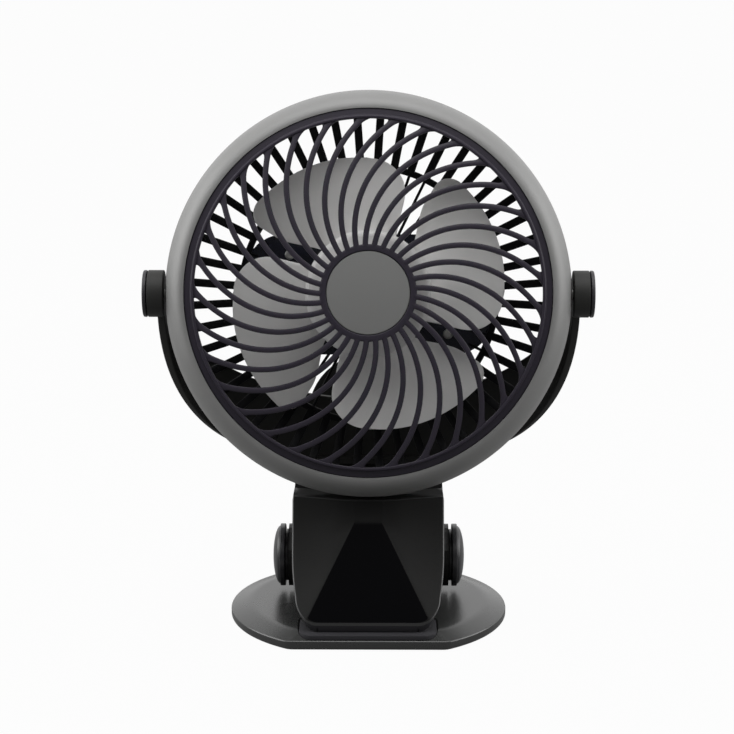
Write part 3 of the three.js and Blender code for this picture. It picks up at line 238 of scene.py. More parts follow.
def two_colours(graph, factor, first, second):
    sockets = {0: factor, 6: (*first, 1), 7: (*second, 1)}
    made = graph.add("ShaderNodeMix", {"data_type": "RGBA"}, sockets)
    return Value(graph, made.node.outputs[2])


def smooth_step(graph, value, start, end):
    """Rises softly from 0 to 1 as the value goes from start to end."""
    sockets = {"Value": value, "From Min": start, "From Max": end}
    return graph.add("ShaderNodeMapRange", {"interpolation_type": "SMOOTHSTEP"}, sockets)["Result"]


def surface(graph, sockets):
    principled = graph.add("ShaderNodeBsdfPrincipled", None, sockets)
    graph.add("ShaderNodeOutputMaterial", None, {"Surface": principled["BSDF"]})


def bump(graph, height, distance):
    return graph.add("ShaderNodeBump", None, {"Height": height, "Distance": distance})["Normal"]


def plastic(name, colour, roughness, grain=0.00004, grain_size=0.0009, change=0.08,
            specular=0.5, metal=0.0):
    material, graph, place = shader(name)
    slow = noise(graph, place, 28.0, 3.0)
    fine = noise(graph, place, 1 / grain_size, 2.0, 0.6)
    darker = [channel * (1 - change) for channel in colour]
    lighter = [channel * (1 + change) for channel in colour]
    surface(graph, {
        "Base Color": two_colours(graph, slow * 0.7 + fine * 0.3, darker, lighter),
        "Roughness": roughness - 0.05 + slow * 0.06 + fine * 0.04,
        "Specular IOR Level": specular,
        "Metallic": metal,
        "Normal": bump(graph, fine, grain),
    })
    return material


# %% [markdown]
# The colours below are the ones that each part of the fan shows in even light. The band round the
# head is a satin grey with a slight metallic sheen. The base is much darker, and looks grey from the
# front only because its smoother skin mirrors the room. The clip is dull and nearly black, the
# grille is black with a touch of purple, and the disc in its middle is a flat grey. The clip's edge
# is the exception: it is lighter and shinier than the clip, which paints a highlight along it.

# %% The plastics of this fan
SATIN = plastic("satin_band", (0.165, 0.165, 0.162), 0.52, grain=0.00006, grain_size=0.0005,
                change=0.18, metal=0.25)
BASE_SATIN = plastic("satin_base", (0.017, 0.0175, 0.017), 0.28, grain=0.00002, specular=0.6)
CLIP_DULL = plastic("dull_clip", (0.006, 0.006, 0.0058), 0.42, grain=0.00004, specular=0.16)
BOW_DULL = plastic("dull_bow", (0.018, 0.018, 0.017), 0.55, grain=0.00005, specular=0.2)
GRILLE_BLACK = plastic("grille_black", (0.020, 0.017, 0.025), 0.42, grain=0.00003, specular=0.22)
REAR_BLACK = plastic("rear_grille_black", (0.006, 0.006, 0.007), 0.45, grain=0.00003, specular=0.12)
CAP_GREY = plastic("cap_grey", (0.140, 0.141, 0.138), 0.62, grain=0.00003, change=0.04, specular=0.2)
DISC_GLOSS = plastic("disc_satin", (0.014, 0.014, 0.016), 0.36, grain=0.00001, change=0.05, specular=0.5)
BOX_GLOSS = plastic("box_gloss", (0.010, 0.011, 0.018), 0.20, grain=0.000008, change=0.05, specular=0.4)
NAVY_GLOSS = plastic("navy_gloss", (0.004, 0.006, 0.020), 0.22, grain=0.000008, change=0.05, specular=0.5)
# A lighter and shinier copy of the clip's plastic for its border arc: a painted highlight along the clip's
# edge.
EDGE_PAINTED_HIGHLIGHT = plastic("edge_painted_highlight", (0.014, 0.014, 0.014), 0.32, grain=0.00001, specular=0.6)
KNOB_DULL = plastic("knob_dull", (0.022, 0.021, 0.024), 0.45, grain=0.00004, specular=0.3)
BUSH_NYLON = plastic("bush_nylon", (0.400, 0.390, 0.360), 0.45, grain=0.00002)
RUBBER = plastic("soft_rubber", (0.017, 0.0165, 0.019), 0.75, grain=0.00008, grain_size=0.0006, specular=0.2)


# %% [markdown]
# ## The blades
#
# The blades are thin light grey plastic. A little light passes through them, so they look bright
# where lamps stand behind or above. A constant share of subsurface light gives that glow. Moulding
# leaves faint flow lines along each blade, which show as a slow change in the sheen.


# %% Blade plastic
def blade_plastic():
    material, graph, place = shader("blade_grey")
    flow = noise(graph, place, 45.0, 4.0, 0.65)
    fine = noise(graph, place, 1500.0, 2.0)
    surface(graph, {
        "Base Color": two_colours(graph, flow, (0.80, 0.79, 0.78), (0.86, 0.855, 0.845)),
        "Roughness": 0.34 + flow * 0.08,
        "Subsurface Weight": 0.6,
        "Subsurface Radius": (0.6, 0.6, 0.6),
        "Subsurface Scale": 0.003,
        "Normal": bump(graph, fine, 0.00001),
    })
    return material


BLADE = blade_plastic()


# %% [markdown]
# ## Metal, copper and the circuit board
#
# Rolled and plated steel has fine lines or a cloudy plating. The lines come from noise that is
# squeezed along one axis by a Mapping node. A winding is a stack of thin turns, so a wave texture
# across it gives one ridge for each wire. A circuit board shows its copper tracks as a slightly
# lighter green under the lacquer.


# %% Metals
def steel(name, colour, roughness, squeeze, depth=0.00002):
    material, graph, place = shader(name)
    stretched = graph.add("ShaderNodeMapping", None, {"Vector": place, "Scale": squeeze})["Vector"]
    lines = noise(graph, stretched, 900.0, 3.0, 0.7)
    cloud = noise(graph, place, 120.0, 2.0)
    darker = [channel * 0.8 for channel in colour]
    surface(graph, {
        "Base Color": two_colours(graph, cloud * 0.6 + lines * 0.4, darker, colour),
        "Metallic": 1.0,
        "Roughness": roughness + cloud * 0.12,
        "Normal": bump(graph, lines, depth),
    })
    return material


def copper_wire():
    material, graph, place = shader("copper_wire")
    turns = graph.add("ShaderNodeTexWave", {"bands_direction": "Y"}, {
        "Vector": place, "Scale": 420.0, "Distortion": 1.5, "Detail": 2.0,
    })["Fac"]
    surface(graph, {
        "Base Color": two_colours(graph, turns, (0.30, 0.10, 0.035), (0.62, 0.27, 0.10)),
        "Metallic": 0.9,
        "Roughness": 0.30 + turns * 0.15,
        "Coat Weight": 0.6,
        "Normal": bump(graph, turns, 0.0002),
    })
    return material


def circuit_board():
    material, graph, place = shader("circuit_board")
    cells = graph.add("ShaderNodeTexVoronoi", {"feature": "DISTANCE_TO_EDGE"}, {
        "Vector": place, "Scale": 260.0, "Randomness": 0.6,
    })["Distance"]
    track = graph.maths("LESS_THAN", cells, 0.12)
    surface(graph, {
        "Base Color": two_colours(graph, track, (0.010, 0.070, 0.030), (0.030, 0.150, 0.060)),
        "Roughness": 0.45 - track * 0.10,
        "Coat Weight": 0.5,
        "Normal": bump(graph, track, 0.00003),
    })
    return material


PLATED = steel("plated_steel", (0.62, 0.62, 0.60), 0.24, (1, 1, 1))
ROLLED = steel("rolled_steel", (0.50, 0.51, 0.52), 0.26, (1, 0.05, 1))
LAMINATED = steel("laminated_steel", (0.30, 0.30, 0.31), 0.38, (0.04, 1, 0.04), 0.00008)
BALLAST = steel("ballast_steel", (0.36, 0.35, 0.34), 0.42, (1, 1, 1), 0.00006)
COPPER = copper_wire()
BOARD = circuit_board()
print("materials:", len(bpy.data.materials))

# %% [markdown]
# ## Turning pieces
#
# Caps, rings and knobs are round, so they're made as on a lathe: a half section is turned about an
# axis. The corners of a real part are never sharp, so each profile is given by its corners, and
# `eased` swaps each corner for a small arc. Those arcs catch the thin bright lines along the rims.


# %% Profiles with eased corners, turned about an axis
def eased(corners, radius, steps=4):
    """The closed outline through the corners, each rounded by an arc of about that radius."""
    points = []
    for i, corner in enumerate(corners):
        here = Vector(corner[:2])
        own = corner[2] if len(corner) > 2 else radius
        before = Vector(corners[i - 1][:2]) - here
        after = Vector(corners[(i + 1) % len(corners)][:2]) - here
        reach = min(own, before.length * 0.48, after.length * 0.48)
        if reach < 1e-4 or here.x < 1e-6:
            points.append(here)
            continue
        start = here + before.normalized() * reach
        end = here + after.normalized() * reach
        for k in range(steps + 1):
            t = k / steps
            points.append(start * (1 - t) ** 2 + here * 2 * t * (1 - t) + end * t ** 2)
    return points


def smoothed(mesh, angle=35):
    """Smooth shading, with a crisp line where two faces meet at more than the angle."""
    mesh.shade_smooth()
    mesh.set_sharp_from_angle(angle=math.radians(angle))


def new_piece(name, bm, material, place=STRAIGHT, smooth=35, outward=True):
    """A bmesh in millimetres becomes an object at the origin, in metres, with its place in its mesh."""
    if outward:
        bmesh.ops.remove_doubles(bm, verts=bm.verts, dist=1e-4)
        bmesh.ops.recalc_face_normals(bm, faces=bm.faces)
    mesh = bpy.data.meshes.new(name)
    bm.to_mesh(mesh)
    bm.free()
    mesh.transform(place @ Matrix.Scale(MM, 4))
    smoothed(mesh, smooth)
    mesh.materials.append(material)
    return linked(name, mesh)


def turn(bm, profile, steps=96):
    """A closed [radius, height] profile turned about Z, in millimetres."""
    columns = []
    for i in range(steps):
        angle = 2 * math.pi * i / steps
        columns.append([bm.verts.new((*polar(r, angle), z)) for r, z in profile])
    count = len(profile)
    for i in range(steps):
        left, right = columns[i], columns[(i + 1) % steps]
        for j in range(count):
            k = (j + 1) % count
            if profile[j][0] < 1e-6 and profile[k][0] < 1e-6:
                continue
            bm.faces.new((left[j], right[j], right[k], left[k]))
    return [vert for column in columns for vert in column]


def turned(name, corners, material, place, radius=0.4, steps=96):
    bm = bmesh.new()
    turn(bm, eased(corners, radius), steps)
    return new_piece(name, bm, material, place)


def dress(piece, body, slot, *nodes):
    """The piece rides on its body and stands for its solids."""
    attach(piece, body)
    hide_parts(*nodes)
    return piece


# %% [markdown]
# ## The band round the head
#
# From the front the band is the broadest thing on the fan: a smooth barrel that swells from the
# grille to the widest line over the pivots and draws in again to the rear. It could be bevelled out
# of a tube, but a quarter of an ellipse in front and a shallow parabola behind give its swell
# exactly, and the same formula, a wall further in, gives the inside. Four posts take the screws of
# the rear grille, each tied to the wall by a web, and two stubs carry the pivots.

# %% Head band
BAND_RADIUS = 110.6
BAND_WALL = 2.6
BAND_FRONT = -25.0
BAND_REAR = 10.0
BAND_FRONT_RADIUS = 99.0
BAND_REAR_RADIUS = 106.5
BAND_BORE = 98.8
POST_RADIUS = 99.5
WEB_RADIUS = POST_RADIUS * 1.065
STUB_LENGTH = 13.0
POST_ANGLES = [math.radians(angle) for angle in (45, 135, 225, 315)]


def band_radius(z):
    if z > 0:
        return BAND_RADIUS - (BAND_RADIUS - BAND_REAR_RADIUS) * (z / BAND_REAR) ** 2
    return BAND_FRONT_RADIUS + (BAND_RADIUS - BAND_FRONT_RADIUS) * math.sqrt(1 - (z / BAND_FRONT) ** 2)


def cylinder(bm, radius, start, end, steps=32):
    """A plain closed cylinder between two points."""
    along = Vector(end) - Vector(start)
    turned_to = along.to_track_quat("Z", "Y").to_matrix().to_4x4()
    place = Matrix.Translation((Vector(start) + Vector(end)) / 2) @ turned_to
    bmesh.ops.create_cone(bm, cap_ends=True, segments=steps, radius1=radius, radius2=radius,
                          depth=along.length, matrix=place)


def head_band():
    front = [BAND_FRONT * math.cos(i / 24 * math.pi / 2) for i in range(24)]
    heights = front + [BAND_REAR * i / 8 for i in range(9)]
    outside = [(band_radius(z), z) for z in heights]
    inside = [(max(band_radius(z) - BAND_WALL, BAND_BORE), z) for z in reversed(heights)]
    bm = bmesh.new()
    turn(bm, outside + inside, 256)
    for angle in POST_ANGLES:
        post = polar(POST_RADIUS, angle)
        cylinder(bm, 3.6, (*post, BAND_FRONT + 10), (*post, BAND_REAR - 3.2))
        cylinder(bm, 1.1, (*post, -2), (*polar(WEB_RADIUS, angle), -2), 12)
    for side in (-1, 1):
        outer = side * (BAND_RADIUS - 1.2)
        cylinder(bm, 7, (outer, 0, 0), (outer - side * STUB_LENGTH, 0, 0))
    return new_piece("head_band", bm, SATIN, HEAD)


dress(head_band(), "head", "satin_grey", "head_ring")
print("band:", 2 * BAND_RADIUS, "mm across,", BAND_REAR - BAND_FRONT, "mm deep")

# %% [markdown]
# ## Geometry Nodes in a script
#
# The grille is one rib, repeated. Geometry Nodes suit this: the rib is drawn once from a formula
# and placed round the circle, and its sizes stay as named inputs. The helpers below start a tree
# with its inputs, end it with real meshes and a material, and run it. Its result is then kept as a
# plain mesh, and the modifier is dropped.


# %% Start a tree, and bake what it makes
def new_tree(name, inputs, takes=()):
    """A tree with a geometry input for each name in takes, before its number inputs."""
    tree = bpy.data.node_groups.new(name, "GeometryNodeTree")
    tree.interface.new_socket("Geometry", in_out="OUTPUT", socket_type="NodeSocketGeometry")
    for title in takes:
        tree.interface.new_socket(title, in_out="INPUT", socket_type="NodeSocketGeometry")
    for title, value in inputs.items():
        kind = "NodeSocketInt" if isinstance(value, int) else "NodeSocketFloat"
        tree.interface.new_socket(title, in_out="INPUT", socket_type=kind)
    graph = Graph(tree)
    given = graph.add("NodeGroupInput")
    return graph, {title: given[title] for title in [*takes, *inputs]}


def end_tree(graph, geometry, material):
    real = graph.add("GeometryNodeRealizeInstances", None, {"Geometry": geometry})["Geometry"]
    painted = graph.add("GeometryNodeSetMaterial", None, {"Geometry": real, "Material": material})
    graph.add("NodeGroupOutput", None, {"Geometry": painted["Geometry"]})


def kept(piece):
    """The piece with its modifiers' result as a plain mesh."""
    bpy.context.view_layer.update()
    final = piece.evaluated_get(bpy.context.evaluated_depsgraph_get())
    mesh = bpy.data.meshes.new_from_object(final)
    piece.modifiers.clear()
    piece.data = mesh
    return piece


def run_tree(piece, graph, inputs):
    """Runs a tree on the piece, with its inputs set by their sockets' identifiers."""
    modifier = piece.modifiers.new("tree", "NODES")
    modifier.node_group = graph.tree
    for item in graph.tree.interface.items_tree:
        if item.item_type == "SOCKET" and item.name in inputs:
            modifier[item.identifier] = inputs[item.name]
    return kept(piece)


def grow(name, graph, inputs):
    """What a tree makes from nothing, moved to the head."""
    piece = run_tree(linked(name, bpy.data.meshes.new(name)), graph, inputs)
    piece.data.transform(HEAD @ Matrix.Scale(MM, 4))
    smoothed(piece.data)
    print(name, len(piece.data.polygons), "faces")
    return piece


# %% [markdown]
# ## The swirled front grille
#
# Thirty-three ribs leave the hub ring along the radius and sweep round as they near the rim. The
# sweep grows with a power of the way out, which gives the curl of a turbine. The whole grille is
# also a shallow dish: the middle stands proud of the rim. Near both ends a rib widens by a round
# fillet, as a moulded web does. A curve could be drawn for the rib by hand, but here a straight bar
# is bent by the formula, so its section stays true and its sizes can be changed.

# %% Front grille: ribs from a formula
RIM_INNER = 93.2
HUB_OUTER = 25.9
HUB_INNER = 22.5
HUB_FRONT = -34.0
GRILLE_BACK = -24.3
rib_inputs = {
    "Ribs": 33,
    "Start radius": HUB_OUTER - 1.2,
    "End radius": RIM_INNER + 1.2,
    "Sweep": math.radians(35.2),
    "Curl": 1.35,
    "First angle": math.radians(-4.6),
    "Middle height": HUB_FRONT + 1.7,
    "Rim height": GRILLE_BACK - 0.4,
    "Width": 3.0,
    "Depth": 3.4,
    "Fillet at rim": 3.6,
    "Rim radius": RIM_INNER + 0.4,
    "Fillet at collar": 0.35,
    "Collar radius": HUB_OUTER,
}


def unit_line(graph):
    return graph.add("GeometryNodeCurvePrimitiveLine", None, {"Start": (0, 0, 0), "End": (1, 0, 0)})["Curve"]


def swept_bar(graph, path, given, corner):
    """A bar along the path: a rectangle of the given width and depth with rounded corners."""
    sizes = {"Width": given["Width"], "Height": given["Depth"]}
    flat = graph.add("GeometryNodeCurvePrimitiveQuadrilateral", None, sizes)
    section = graph.add("GeometryNodeFilletCurve", {"mode": "POLY"}, {
        "Curve": flat["Curve"], "Radius": corner, "Count": 2, "Limit Radius": True,
    })["Curve"]
    sockets = {"Curve": path, "Profile Curve": section, "Fill Caps": True}
    return graph.add("GeometryNodeCurveToMesh", None, sockets)["Mesh"]


def round_place(graph, radius, angle, height):
    """The position at a radius, an angle and a height."""
    across, upward = graph.maths("COSINE", angle), graph.maths("SINE", angle)
    return graph.vector(X=radius * across, Y=radius * upward, Z=height)


def copies_round(graph, shape, count, first_angle):
    """Instances of a shape, turned about Z in equal steps."""
    points = graph.add("GeometryNodePoints", None, {"Count": count})["Points"]
    index = graph.add("GeometryNodeInputIndex")["Index"]
    angle = first_angle + index * (2 * math.pi) / count
    sockets = {"Points": points, "Instance": shape, "Rotation": graph.vector(Z=angle)}
    return graph.add("GeometryNodeInstanceOnPoints", None, sockets)["Instances"], angle


def fillet(graph, radius, gap):
    """How much a circular fillet widens a rib on each side, at a gap from the ring it meets."""
    inside = radius - graph.maths("MINIMUM", graph.maths("MAXIMUM", gap, 0.0), radius)
    return radius - graph.maths("SQRT", radius ** 2 - inside ** 2)


def rib_tree():
    graph, given = new_tree("swirled_ribs", rib_inputs)
    path = graph.add("GeometryNodeResampleCurve", {"mode": "COUNT"}, {"Curve": unit_line(graph), "Count": 44})
    upright = graph.add("GeometryNodeSetCurveNormal", {"mode": "Z_UP"}, {"Curve": path["Curve"]})["Curve"]
    bar = swept_bar(graph, upright, given, 0.8)
    place = graph.add("GeometryNodeInputPosition")["Position"]
    straight = graph.add("ShaderNodeSeparateXYZ", None, {"Vector": place})
    share = (1 - graph.maths("COSINE", straight["X"] * math.pi)) / 2
    radius = given["Start radius"] + (given["End radius"] - given["Start radius"]) * share
    turn_rate = given["Sweep"] * given["Curl"] * share ** (given["Curl"] - 1)
    slant = radius * turn_rate / (given["End radius"] - given["Start radius"])
    spread = graph.maths("SQRT", slant ** 2 + 1)
    at_rim = fillet(graph, given["Fillet at rim"], given["Rim radius"] - radius)
    at_collar = fillet(graph, given["Fillet at collar"], radius - given["Collar radius"])
    wider = spread + (at_rim + at_collar) * 2 / given["Width"]
    angle = given["Sweep"] * share ** given["Curl"] + straight["Y"] * wider / radius
    height = given["Rim height"] + (given["Middle height"] - given["Rim height"]) * (1 - share ** 2.2)
    where = round_place(graph, radius, angle, height + straight["Z"])
    swept = graph.add("GeometryNodeSetPosition", None, {"Geometry": bar, "Position": where})["Geometry"]
    ribs, _ = copies_round(graph, swept, given["Ribs"], given["First angle"] * -1)
    end_tree(graph, ribs, GRILLE_BLACK)
    return graph


ribs = grow("front_ribs", rib_tree(), rib_inputs)

# %% [markdown]
# The ribs end in two rings. The inner one is a deep collar that also holds the cap. The outer one
# is a broad matte rim with a low lip round its inner edge, and its skirt goes into the band. The
# rings and the ribs are one moulding, so they are joined into one object.


# %% Front grille: collar and rim
def joined(name, pieces):
    """Several objects become one, with one shared list of materials."""
    with bpy.context.temp_override(active_object=pieces[0], selected_editable_objects=pieces):
        bpy.ops.object.join()
    pieces[0].name = name
    pieces[0].data.name = name
    return pieces[0]


def grille_rings():
    skirt = BAND_BORE - 0.3
    back = GRILLE_BACK
    shelf, foot = HUB_FRONT + 3.2, HUB_FRONT + 4.6
    collar = [(HUB_INNER, HUB_FRONT), (HUB_OUTER, HUB_FRONT, 0.9), (HUB_OUTER, foot), (HUB_INNER - 4, foot),
              (HUB_INNER - 4, shelf), (HUB_INNER, shelf)]
    rim = [(RIM_INNER, back - 3), (RIM_INNER + 1.5, back - 3, 0.6), (RIM_INNER + 2.1, back - 0.6, 0.3),
           (skirt, back - 0.2, 0.3), (skirt, back + 8), (skirt - 2, back + 8), (skirt - 2, back + 1.6),
           (RIM_INNER, back + 1.6)]
    return [turned("collar", collar, GRILLE_BLACK, HEAD, 0.45, 128),
            turned("rim", rim, GRILLE_BLACK, HEAD, 0.4, 264)]


dress(joined("front_grille_moulding", [ribs, *grille_rings()]), "head", "grille_black", "front_grille")

# %% [markdown]
# The disc in the middle is flat, dull and bare. It sits just below the collar's edge, so a thin
# dark line shows round it.

# %% Grille cap
cap_corners = [(0, HUB_FRONT + 0.2), (HUB_INNER - 0.3, HUB_FRONT + 0.2, 0.6),
               (HUB_INNER - 0.3, HUB_FRONT + 2.9), (0, HUB_FRONT + 2.9)]
dress(turned("grille_disc", cap_corners, CAP_GREY, HEAD, 0.3, 128), "head", "cap_grey", "grille_cap")

# %% [markdown]
# ## The rear grille
#
# Behind the blades stands a guard of straight spokes: broad ones from the rim to a middle ring, and
# thin ones from there to the plate that carries the motor. They could be two arrays, but one tree
# makes both: a bar is stretched and leaned to reach between two circles. The thin ones end on the
# plate instead. How far it reaches is worked out for each spoke's angle, as if its ends were half
# circles, so their ends stay hidden in the plate.

# %% Rear grille: spokes
PLATE_HALF_WIDTH = 70.0
PLATE_HALF_HEIGHT = 33.5
PLATE_FRONT = 27.0
PLATE_REAR = 29.6
MID_RING = 71.0
REAR_RIM_INNER = 95.0
spoke_inputs = {
    "Spokes": 48,
    "First angle": math.pi / 48,
    "Outer radius": 0.0,
    "Inner radius": 0.0,
    "Outer height": 0.0,
    "Inner height": 0.0,
    "Width": 0.0,
    "Depth": 0.0,
    "Half height of plate": PLATE_HALF_HEIGHT,
    "Straight half of plate": PLATE_HALF_WIDTH - PLATE_HALF_HEIGHT,
    "Ends on plate": 0.0,
}


def plate_reach(graph, angle, half_height, straight):
    """How far a plate with half circles for ends reaches from the axis in a direction."""
    across = graph.maths("ABSOLUTE", graph.maths("COSINE", angle))
    upward = graph.maths("MAXIMUM", graph.maths("ABSOLUTE", graph.maths("SINE", angle)), 0.001)
    over_flat = half_height / upward
    under_root = graph.maths("MAXIMUM", half_height ** 2 - (straight * upward) ** 2, 0.0)
    over_end = straight * across + graph.maths("SQRT", under_root)
    past_flat = graph.maths("GREATER_THAN", over_flat * across, straight)
    flat_side = graph.maths("MINIMUM", over_flat, 1000.0)
    return flat_side + (over_end - flat_side) * past_flat


def spoke_tree():
    graph, given = new_tree("straight_spokes", spoke_inputs)
    bar = swept_bar(graph, unit_line(graph), given, 0.4)
    placed, angle = copies_round(graph, bar, given["Spokes"], given["First angle"])
    points = placed.socket.node
    reach = plate_reach(graph, angle, given["Half height of plate"], given["Straight half of plate"])
    inner = given["Inner radius"] + (reach - 1.2 - given["Inner radius"]) * given["Ends on plate"]
    run = given["Outer radius"] - inner
    rise = given["Outer height"] - given["Inner height"]
    lean = graph.maths("ARCTAN2", rise, run) * -1
    length = graph.maths("SQRT", run ** 2 + rise ** 2)
    turned_by = graph.vector(Y=lean, Z=angle)
    stretch = graph.vector(X=length, Y=1.0, Z=1.0)
    graph.tree.links.new(turned_by.socket, points.inputs["Rotation"])
    graph.tree.links.new(stretch.socket, points.inputs["Scale"])
    where = round_place(graph, inner, angle, given["Inner height"])
    moved = graph.add("GeometryNodeSetPosition", None, {
        "Geometry": Value(graph, points.inputs["Points"].links[0].from_socket), "Position": where,
    })["Geometry"]
    graph.tree.links.new(moved.socket, points.inputs["Points"])
    end_tree(graph, placed, REAR_BLACK)
    return graph


spokes = spoke_tree()
broad = {**spoke_inputs, "Outer radius": REAR_RIM_INNER + 3.4, "Inner radius": MID_RING,
         "Outer height": BAND_REAR - 0.6, "Inner height": PLATE_FRONT, "Width": 4.4, "Depth": 3.0}
thin = {**spoke_inputs, "Outer radius": MID_RING, "Outer height": PLATE_FRONT,
        "Inner height": PLATE_FRONT + 1.2, "Width": 1.6, "Depth": 2.2, "Ends on plate": 1.0}
broad_spokes = grow("broad_spokes", spokes, broad)
thin_spokes = grow("thin_spokes", spokes, thin)

# %% [markdown]
# The plate in the middle and the box behind it share one outline, a rectangle with broad round
# corners. It is drawn once, and both are cut with the same rows of vent slots at the ends and the
# same notches round the corners. A cut is a Boolean modifier, which is then turned into a plain
# mesh: that leaves crisp openings where a texture would only fake them.


# %% Outlines, walls and cuts
PLATE_CORNER = PLATE_HALF_HEIGHT - 10.5
SLOTS = 5
SLOT_PITCH = 6.0
NOTCH_FIRST = 12
NOTCH_STEP = 16
NOTCH_SIZE = (5, 1.9)


def rounded_rectangle(half_width, half_height, corner, steps, middle=0.0):
    """Points round a rectangle with round corners, in the plane, with its middle at a Y."""
    points = []
    for side, end, start in ((1, -1, -90), (1, 1, 0), (-1, 1, 90), (-1, -1, 180)):
        for i in range(steps + 1):
            x, y = polar(corner, math.radians(start + 90 * i / steps))
            points.append((side * (half_width - corner) + x, middle + end * (half_height - corner) + y))
    return points


def plate_outline(inset, height):
    flat = rounded_rectangle(PLATE_HALF_WIDTH - inset, PLATE_HALF_HEIGHT - inset, PLATE_CORNER - inset, 12)
    return [(*point, height) for point in flat]


def stacked(bm, rings):
    """A closed skin over rings of points with equal counts, with flat caps at both ends."""
    layers = [[bm.verts.new(point) for point in ring] for ring in rings]
    count = len(layers[0])
    for low, high in zip(layers, layers[1:]):
        for j in range(count):
            k = (j + 1) % count
            bm.faces.new((low[j], low[k], high[k], high[j]))
    bm.faces.new(list(reversed(layers[0])))
    bm.faces.new(layers[-1])


def box(bm, low, high):
    size = Vector(high) - Vector(low)
    middle = (Vector(high) + Vector(low)) / 2
    bmesh.ops.create_cube(bm, matrix=Matrix.Translation(middle) @ Matrix.Diagonal((*size, 1)))


def cut(piece, tool_mesh, place=STRAIGHT, smooth=35, crossing=False):
    """Takes the tool's shape out of the piece. Crossing says that parts of the tool overlap."""
    tool = new_piece("tool", tool_mesh, piece.data.materials[0], place, outward=not crossing)
    boolean = piece.modifiers.new("cut", "BOOLEAN")
    boolean.operation = "DIFFERENCE"
    boolean.solver = "EXACT"
    boolean.use_self = crossing
    boolean.object = tool
    smoothed(kept(piece).data, smooth)
    bpy.data.objects.remove(tool)
    return piece


def corner_notches(bm, side, end, low, high):
    """A comb of short radial cuts round one corner."""
    middle = (side * (PLATE_HALF_WIDTH - PLATE_CORNER), end * (PLATE_HALF_HEIGHT - PLATE_CORNER),
              (low + high) / 2)
    out = Matrix.Translation((PLATE_CORNER, 0, 0)) @ Matrix.Diagonal((*NOTCH_SIZE, high - low, 1))
    for i in range(SLOTS):
        x, y = polar(1, math.radians(NOTCH_FIRST + NOTCH_STEP * i))
        spin = Matrix.Rotation(math.atan2(end * y, side * x), 4, "Z")
        bmesh.ops.create_cube(bm, size=1, matrix=Matrix.Translation(middle) @ spin @ out)


def vent_slots(bm, low, high):
    straight = PLATE_HALF_WIDTH - PLATE_HALF_HEIGHT
    for side in (-1, 1):
        for i in range(SLOTS):
            y = (i - (SLOTS - 1) / 2) * SLOT_PITCH
            reach = math.sqrt((PLATE_HALF_HEIGHT - 5) ** 2 - y ** 2)
            ends = sorted((side * (straight + 6), side * (straight + reach)))
            box(bm, (ends[0], y - 1, low), (ends[1], y + 1, high))
        for end in (-1, 1):
            corner_notches(bm, side, end, low, high)


# %% Rear grille: rings and plate
def flat_ring(outer, inner, low, high):
    return [(inner, low), (outer, low), (outer, high), (inner, high)]


def rear_plate():
    bm = bmesh.new()
    stacked(bm, [plate_outline(0.4, PLATE_FRONT), plate_outline(0, PLATE_FRONT + 0.4),
                 plate_outline(0, PLATE_REAR)])
    plate = new_piece("plate", bm, NAVY_GLOSS, HEAD)
    cutter = bmesh.new()
    vent_slots(cutter, PLATE_FRONT - 1, PLATE_REAR + 1)
    cylinder(cutter, 3.5, (0, 0, PLATE_FRONT - 1), (0, 0, PLATE_REAR + 1))
    return cut(plate, cutter, HEAD)


rear_rim = flat_ring(BAND_REAR_RADIUS - BAND_WALL - 0.3, REAR_RIM_INNER + 2.4,
                     BAND_REAR - 2.6, BAND_REAR + 1.2)
mid_ring = flat_ring(MID_RING + 1.9, MID_RING - 1.7, PLATE_FRONT - 1.8, PLATE_FRONT + 1.8)
bearing_seat = flat_ring(9.1, 7.3, PLATE_FRONT - 4.5, PLATE_FRONT + 0.5)
rear_pieces = [
    broad_spokes, thin_spokes,
    turned("rear_rim", rear_rim, REAR_BLACK, HEAD, 0.5, 192),
    turned("mid_ring", mid_ring, REAR_BLACK, HEAD, 0.5, 192),
    turned("bearing_seat", bearing_seat, REAR_BLACK, HEAD, 0.2, 48),
    rear_plate(),
]
dress(joined("rear_guard", rear_pieces), "head", "grille_black", "rear_grille")


# %% [markdown]
# ## The motor box
#
# The box behind the plate is glossy and nearly black. Its rear edge is rounded, its ends carry the
# same vents, and the speed knob and the inlet sit in its middle. The shell is open to the front,
# because the real one is a cover that screws on.

# %% Motor box
BOX_FRONT = PLATE_REAR + 0.3
BOX_REAR = PLATE_REAR + 20.0
BOX_WALL = 2.0
KNOB_RISE = 8.0
INLET_DROP = 20.0
BOX_SCREWS = [(x, y) for x in (-44, 44) for y in (-22, 22)]


def box_rings(front, rear, inset, rounding, steps=6):
    """Outlines from the front to the rear, where the edge is rounded."""
    rings = [plate_outline(inset, front)]
    for i in range(steps + 1):
        inward, along = polar(rounding, i / steps * math.pi / 2)
        rings.append(plate_outline(inset + rounding - inward, rear - rounding + along))
    return rings


def motor_box():
    bm = bmesh.new()
    stacked(bm, box_rings(BOX_FRONT, BOX_REAR, 0, 3.0))
    shell = new_piece("motor_box", bm, BOX_GLOSS, HEAD)
    hollow = bmesh.new()
    stacked(hollow, box_rings(BOX_FRONT - 1, BOX_REAR - BOX_WALL, BOX_WALL, 1.5))
    cut(shell, hollow, HEAD)
    cutter = bmesh.new()
    vent_slots(cutter, BOX_REAR - BOX_WALL - 1, BOX_REAR + 1)
    cylinder(cutter, 3.3, (0, -KNOB_RISE, BOX_REAR - 4), (0, -KNOB_RISE, BOX_REAR + 1))
    cylinder(cutter, 4.3, (0, INLET_DROP, BOX_REAR - 4), (0, INLET_DROP, BOX_REAR + 1))
    cut(shell, cutter, HEAD)
    posts = bmesh.new()
    for place in BOX_SCREWS:
        post = turn(posts, flat_ring(3.6, 1.8, BOX_FRONT, BOX_REAR - 1), 24)
        bmesh.ops.translate(posts, verts=post, vec=(*place, 0))
    return joined("motor_box", [shell, new_piece("posts", posts, BOX_GLOSS, HEAD)])


